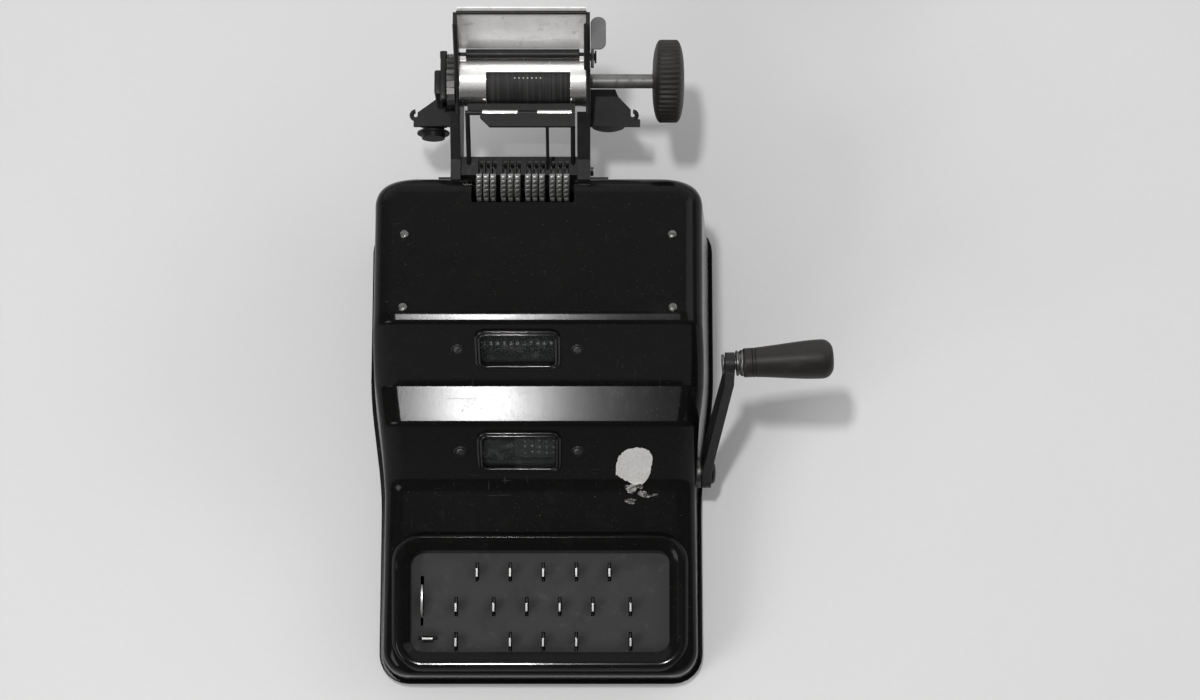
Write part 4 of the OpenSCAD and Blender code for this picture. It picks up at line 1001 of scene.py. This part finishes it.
guideRods = {"y": 344.25, "z": 148.7, "radius": 1.8, "spans": [(-35.8, -13.1), (-1.1, 21)], "edge": 0.4}
pressRoll = {"from": -50, "to": 30, "y": 379.5, "z": 159.2, "radius": 3.3, "pin": 1.2, "side": 4.2,
             "edge": 0.4}
edgeRolls = [  # rolled front edges of the carriage plates: radius and the path
    (1.5, [(-51.25, 345, 144.9), (-51.25, 353.5, 150.5), (-51.25, 387.2, 194.6)]),
    (2.0, [(30.6, 367, 168.6), (30.6, 387.2, 194.6)]),
    (1.5, [(31.25, 345, 144.9), (31.25, 353.5, 150.5), (31.25, 367, 168.6)]),
    (1.2, [(-50.5, 394.6, 195.6), (30.5, 394.6, 195.6)]),
]


def rodProfile(radius, start, end, edge):  # a round rod with eased ends
    inner = radius - edge
    return [(0, start), (inner, start), (radius, start + edge), (radius, end - edge), (inner, end), (0, end)]


def buildCarriageTrim():
    trim = bmesh.new()
    place = Matrix.Translation(caseFront) @ Matrix.Scale(mm, 4)
    for radius, path in edgeRolls:
        stamp(trim, tubeForm(path, radius), place)
    p = pressRoll
    start, end = p["from"] + p["side"], p["to"] - p["side"]
    roll = rodProfile(p["radius"], start, end, p["edge"])[1:-1]
    pinStart = [(0, p["from"]), (p["pin"], p["from"]), (p["pin"], start)]
    pinEnd = [(p["pin"], end), (p["pin"], p["to"]), (0, p["to"])]
    spinX(trim, pinStart + roll + pinEnd, spot(0, p["y"], p["z"]), 32)
    showPiece("carriage_trim", trim, "dark_steel", "chassis")
    rods = bmesh.new()
    g = guideRods
    for start, end in g["spans"]:
        spinX(rods, rodProfile(g["radius"], start, end, g["edge"]), spot(0, g["y"], g["z"]), 32)
    showPiece("guide_rods", rods, "nickel", "chassis")


pawl = {"lower": (4.8, 15.5, -16.5, 16.5), "lowerAt": (-63.6, 363.75, 135.5), "upper": (3.7, 32, -3, 3),
        "upperAt": (-60.2, 367, 153), "roller": (2.6, 4.4), "rollerAt": (-62.4, 381, 153), "rollerEdge": 0.3}


def buildPawl():  # the line-spacing pawl that stands on the left bracket
    bm = bmesh.new()
    for block, where in ((pawl["lower"], pawl["lowerAt"]), (pawl["upper"], pawl["upperAt"])):
        form = roundedBlock(*block, 1.4, 5)
        softenEdges(form, 0.5, 2, 50)
        stamp(bm, meshOf(form), spot(*where))
    radius, length = pawl["roller"]
    spinX(bm, rodProfile(radius, 0, length, pawl["rollerEdge"]), spot(*pawl["rollerAt"]), 32)
    showPiece("spacing_pawl", bm, "dark_steel", "chassis")


release = {"corner": 4.4, "edge": 0.5, "padThick": 3, "segments": 8}


def buildRelease():  # the lever with its pad rounded to a tablet
    bm = copyOfNode("release_lever")
    top = max(v.co.z for v in bm.verts)
    upright = [e for e in bm.edges if (e.verts[0].co - e.verts[1].co).to_2d().length < 1e-5
               and min(v.co.z for v in e.verts) > top - release["padThick"] * mm]
    bevelEdges(bm, upright, release["corner"] * mm, release["segments"])
    softenEdges(bm, release["edge"] * mm, 2)
    showPiece("release_tablet", bm, slotOf["release_lever"], "release_lever", ["release_lever"],
              "pad_paint", weighted=True)


impressions = {"from": -15, "pitch": 2.7, "count": 7, "radius": 0.45, "angle": 99, "proud": 0.02}


def buildImpressions():  # a row of light marks printed on the platen
    i = impressions
    bm = bmesh.new()
    turn = math.radians(i["angle"])
    reach = platen["radius"] + i["proud"]
    for mark in range(i["count"]):
        place = spot(i["from"] + mark * i["pitch"], platen["y"] + reach * math.cos(turn),
                     platen["z"] + reach * math.sin(turn), i["angle"] - 90)
        made = bmesh.ops.create_circle(bm, cap_ends=True, segments=12, radius=i["radius"])["verts"]
        bmesh.ops.transform(bm, matrix=place, verts=made)
    showPiece("platen_marks", bm, "rubber", "platen", finish="print_marks")


buildPlaten()
buildKnob()
buildSlugs()
buildCarriageTrim()
buildPawl()
buildRelease()
buildImpressions()
print("printer built")


# Torn paper and old glue left at the foot of the lower slope

scrap = {"outlines": [[(62.1, 141.2), (66.4, 140.7), (69.9, 139.6), (71.8, 137.0), (72.3, 134.1),
                       (71.4, 130.5), (71.2, 127.6), (68.8, 124.0), (65.6, 121.1), (61.8, 121.1),
                       (57.3, 122.6), (53.2, 124.7), (48.9, 126.5), (48.9, 131.0), (49.9, 135.0),
                       (52.6, 138.3), (56.3, 140.3)]],
         "thick": 0.14, "curl": 0.8, "jag": 0.4}
glue = {"outlines": [[(54.8, 120.9), (60.2, 121.4), (66.1, 120.9), (66.4, 118.9), (62.4, 118.9),
                      (60.2, 115.7), (56.5, 116.2), (54.8, 118.9)],
                     [(64.5, 117.8), (68.8, 116.2), (71.0, 114.4), (75.8, 115.7), (75.8, 114.4),
                      (71.0, 113.3), (66.7, 113.3), (62.9, 114.9)],
                     [(54.3, 111.5), (57.0, 112.2), (62.4, 112.0), (60.2, 108.8), (57.0, 108.8)]],
        "thick": 0.06, "curl": 0.0, "jag": 0.5}
sheets = {"cell": 1.2, "splits": 4, "lift": 0.12, "spread": 12, "wave": 0.7}


def drapedSheet(bm, outline, form, chance):  # a ragged flat sheet, cut into cells and laid on the roof
    sheet = bmesh.new()
    rim = []
    for (x, y), (nx, ny) in zip(outline, outline[1:] + outline[:1]):
        for step in range(sheets["splits"]):
            jag, share = form["jag"] if step else 0.0, step / sheets["splits"]
            rim.append(sheet.verts.new((x + (nx - x) * share + chance.uniform(-jag, jag),
                                        y + (ny - y) * share + chance.uniform(-jag, jag), 0)))
    sheet.faces.new(rim)
    middle = sum((v.co for v in rim), Vector()) / len(rim)
    for axis in (0, 1):
        low, high = min(v.co[axis] for v in rim), max(v.co[axis] for v in rim)
        for cell in range(1, int((high - low) / sheets["cell"]) + 1):
            place, normal = Vector(), Vector()
            place[axis], normal[axis] = low + cell * sheets["cell"], 1
            every = sheet.verts[:] + sheet.edges[:] + sheet.faces[:]
            bmesh.ops.bisect_plane(sheet, geom=every, plane_co=place, plane_no=normal)
    for v in sheet.verts:
        out = (v.co - middle).to_2d().length / sheets["spread"]
        wave = 0.5 + 0.5 * math.sin(v.co.x * sheets["wave"] + v.co.y)
        v.co.z = roofHeight(v.co.y) + sheets["lift"] + form["curl"] * out ** 3 * wave
    bmesh.ops.recalc_face_normals(sheet, faces=sheet.faces)
    bmesh.ops.solidify(sheet, geom=sheet.faces[:], thickness=form["thick"])
    stamp(bm, meshOf(sheet), Matrix.Translation(caseFront) @ Matrix.Scale(mm, 4))


def buildScrap():
    chance = random.Random(3)
    paper, film = bmesh.new(), bmesh.new()
    for bm, form in ((paper, scrap), (film, glue)):
        for outline in form["outlines"]:
            drapedSheet(bm, outline, form, chance)
    showPiece("torn_scrap", paper, "black_enamel", "chassis", finish="paper", crease=60)
    showPiece("glue_film", film, "black_enamel", "chassis", finish="glue", crease=60)


buildScrap()
print("scrap laid")


# Floor, light and camera

stage = {"floor": 6.0, "background": 0.9, "diffuse": 0.6, "dim": 0.16, "rear": 1.8, "rearFrom": 0.28,
         "rearTo": 0.6}


def buildStage():
    bm = bmesh.new()
    bmesh.ops.create_grid(bm, x_segments=2, y_segments=2, size=stage["floor"])
    floor = newObject("table_top", meshOf(bm))
    floor.data.materials.append(finishes["floor"])
    world = bpy.data.worlds.new("studio")
    bpy.context.scene.world = world
    world.use_nodes = True
    world.node_tree.nodes.clear()
    s = Sock(world.node_tree)
    toRear = parts(s, s.add("TexCoord"))[1]
    mirrored = stage["dim"] + between(s, toRear, stage["rearFrom"], stage["rearTo"]) * stage["rear"]
    rays = s.add("LightPath").out.node.outputs
    kinds = ("Camera", "Transmission", "Glossy")
    camera, through, glossy = [Sock(s.tree, rays["Is %s Ray" % kind]) for kind in kinds]
    seen = s.maths("MAXIMUM", camera, through)
    plain = (1 - glossy) * stage["diffuse"] + glossy * mirrored
    level = seen * stage["background"] + (1 - seen) * plain
    s.add("OutputWorld", None, {0: s.add("Background", None, {"Strength": level})})


lamps = [  # name, place in metres, aim, size, watts
    ("keySoftbox", (-1.5, -1.1, 1.5), (0, 0, 0.08), (0.9, 0.9), 19),
    ("fillSoftbox", (1.7, 0.5, 1.3), (0, 0, 0.08), (1.2, 1.2), 9),
    ("shelfLamp", (-0.143, 0.015, 1.86), (0, 0, 0.1), (0.1, 0.08), 15),
]


def buildLamps():
    for name, place, aim, size, watts in lamps:
        lamp = bpy.data.lights.new(name, "AREA")
        lamp.shape, lamp.size, lamp.size_y, lamp.energy = "RECTANGLE", *size, watts
        holder = newObject(name, lamp)
        holder.location = place
        holder.rotation_euler = (Vector(aim) - Vector(place)).to_track_quat("-Z", "Y").to_euler()


view = {"lens": 84.66, "sensor": 36, "clip": (0.05, 60), "tilt": 12, "distance": 1800,
        "aim": (38.7, 201.5, 100)}


def buildCamera():
    data = bpy.data.cameras.new("camera")
    data.lens, data.sensor_width = view["lens"], view["sensor"]
    data.clip_start, data.clip_end = view["clip"]
    camera = newObject("camera", data)
    tilt = math.radians(view["tilt"])
    ahead = Vector((0, math.sin(tilt), -math.cos(tilt)))
    camera.location = at(*view["aim"]) - ahead * view["distance"] * mm
    camera.rotation_euler = (tilt, 0, 0)
    bpy.context.scene.camera = camera


buildStage()
buildLamps()
buildCamera()
bpy.context.scene.view_settings.view_transform = "Standard"
print("stage set")
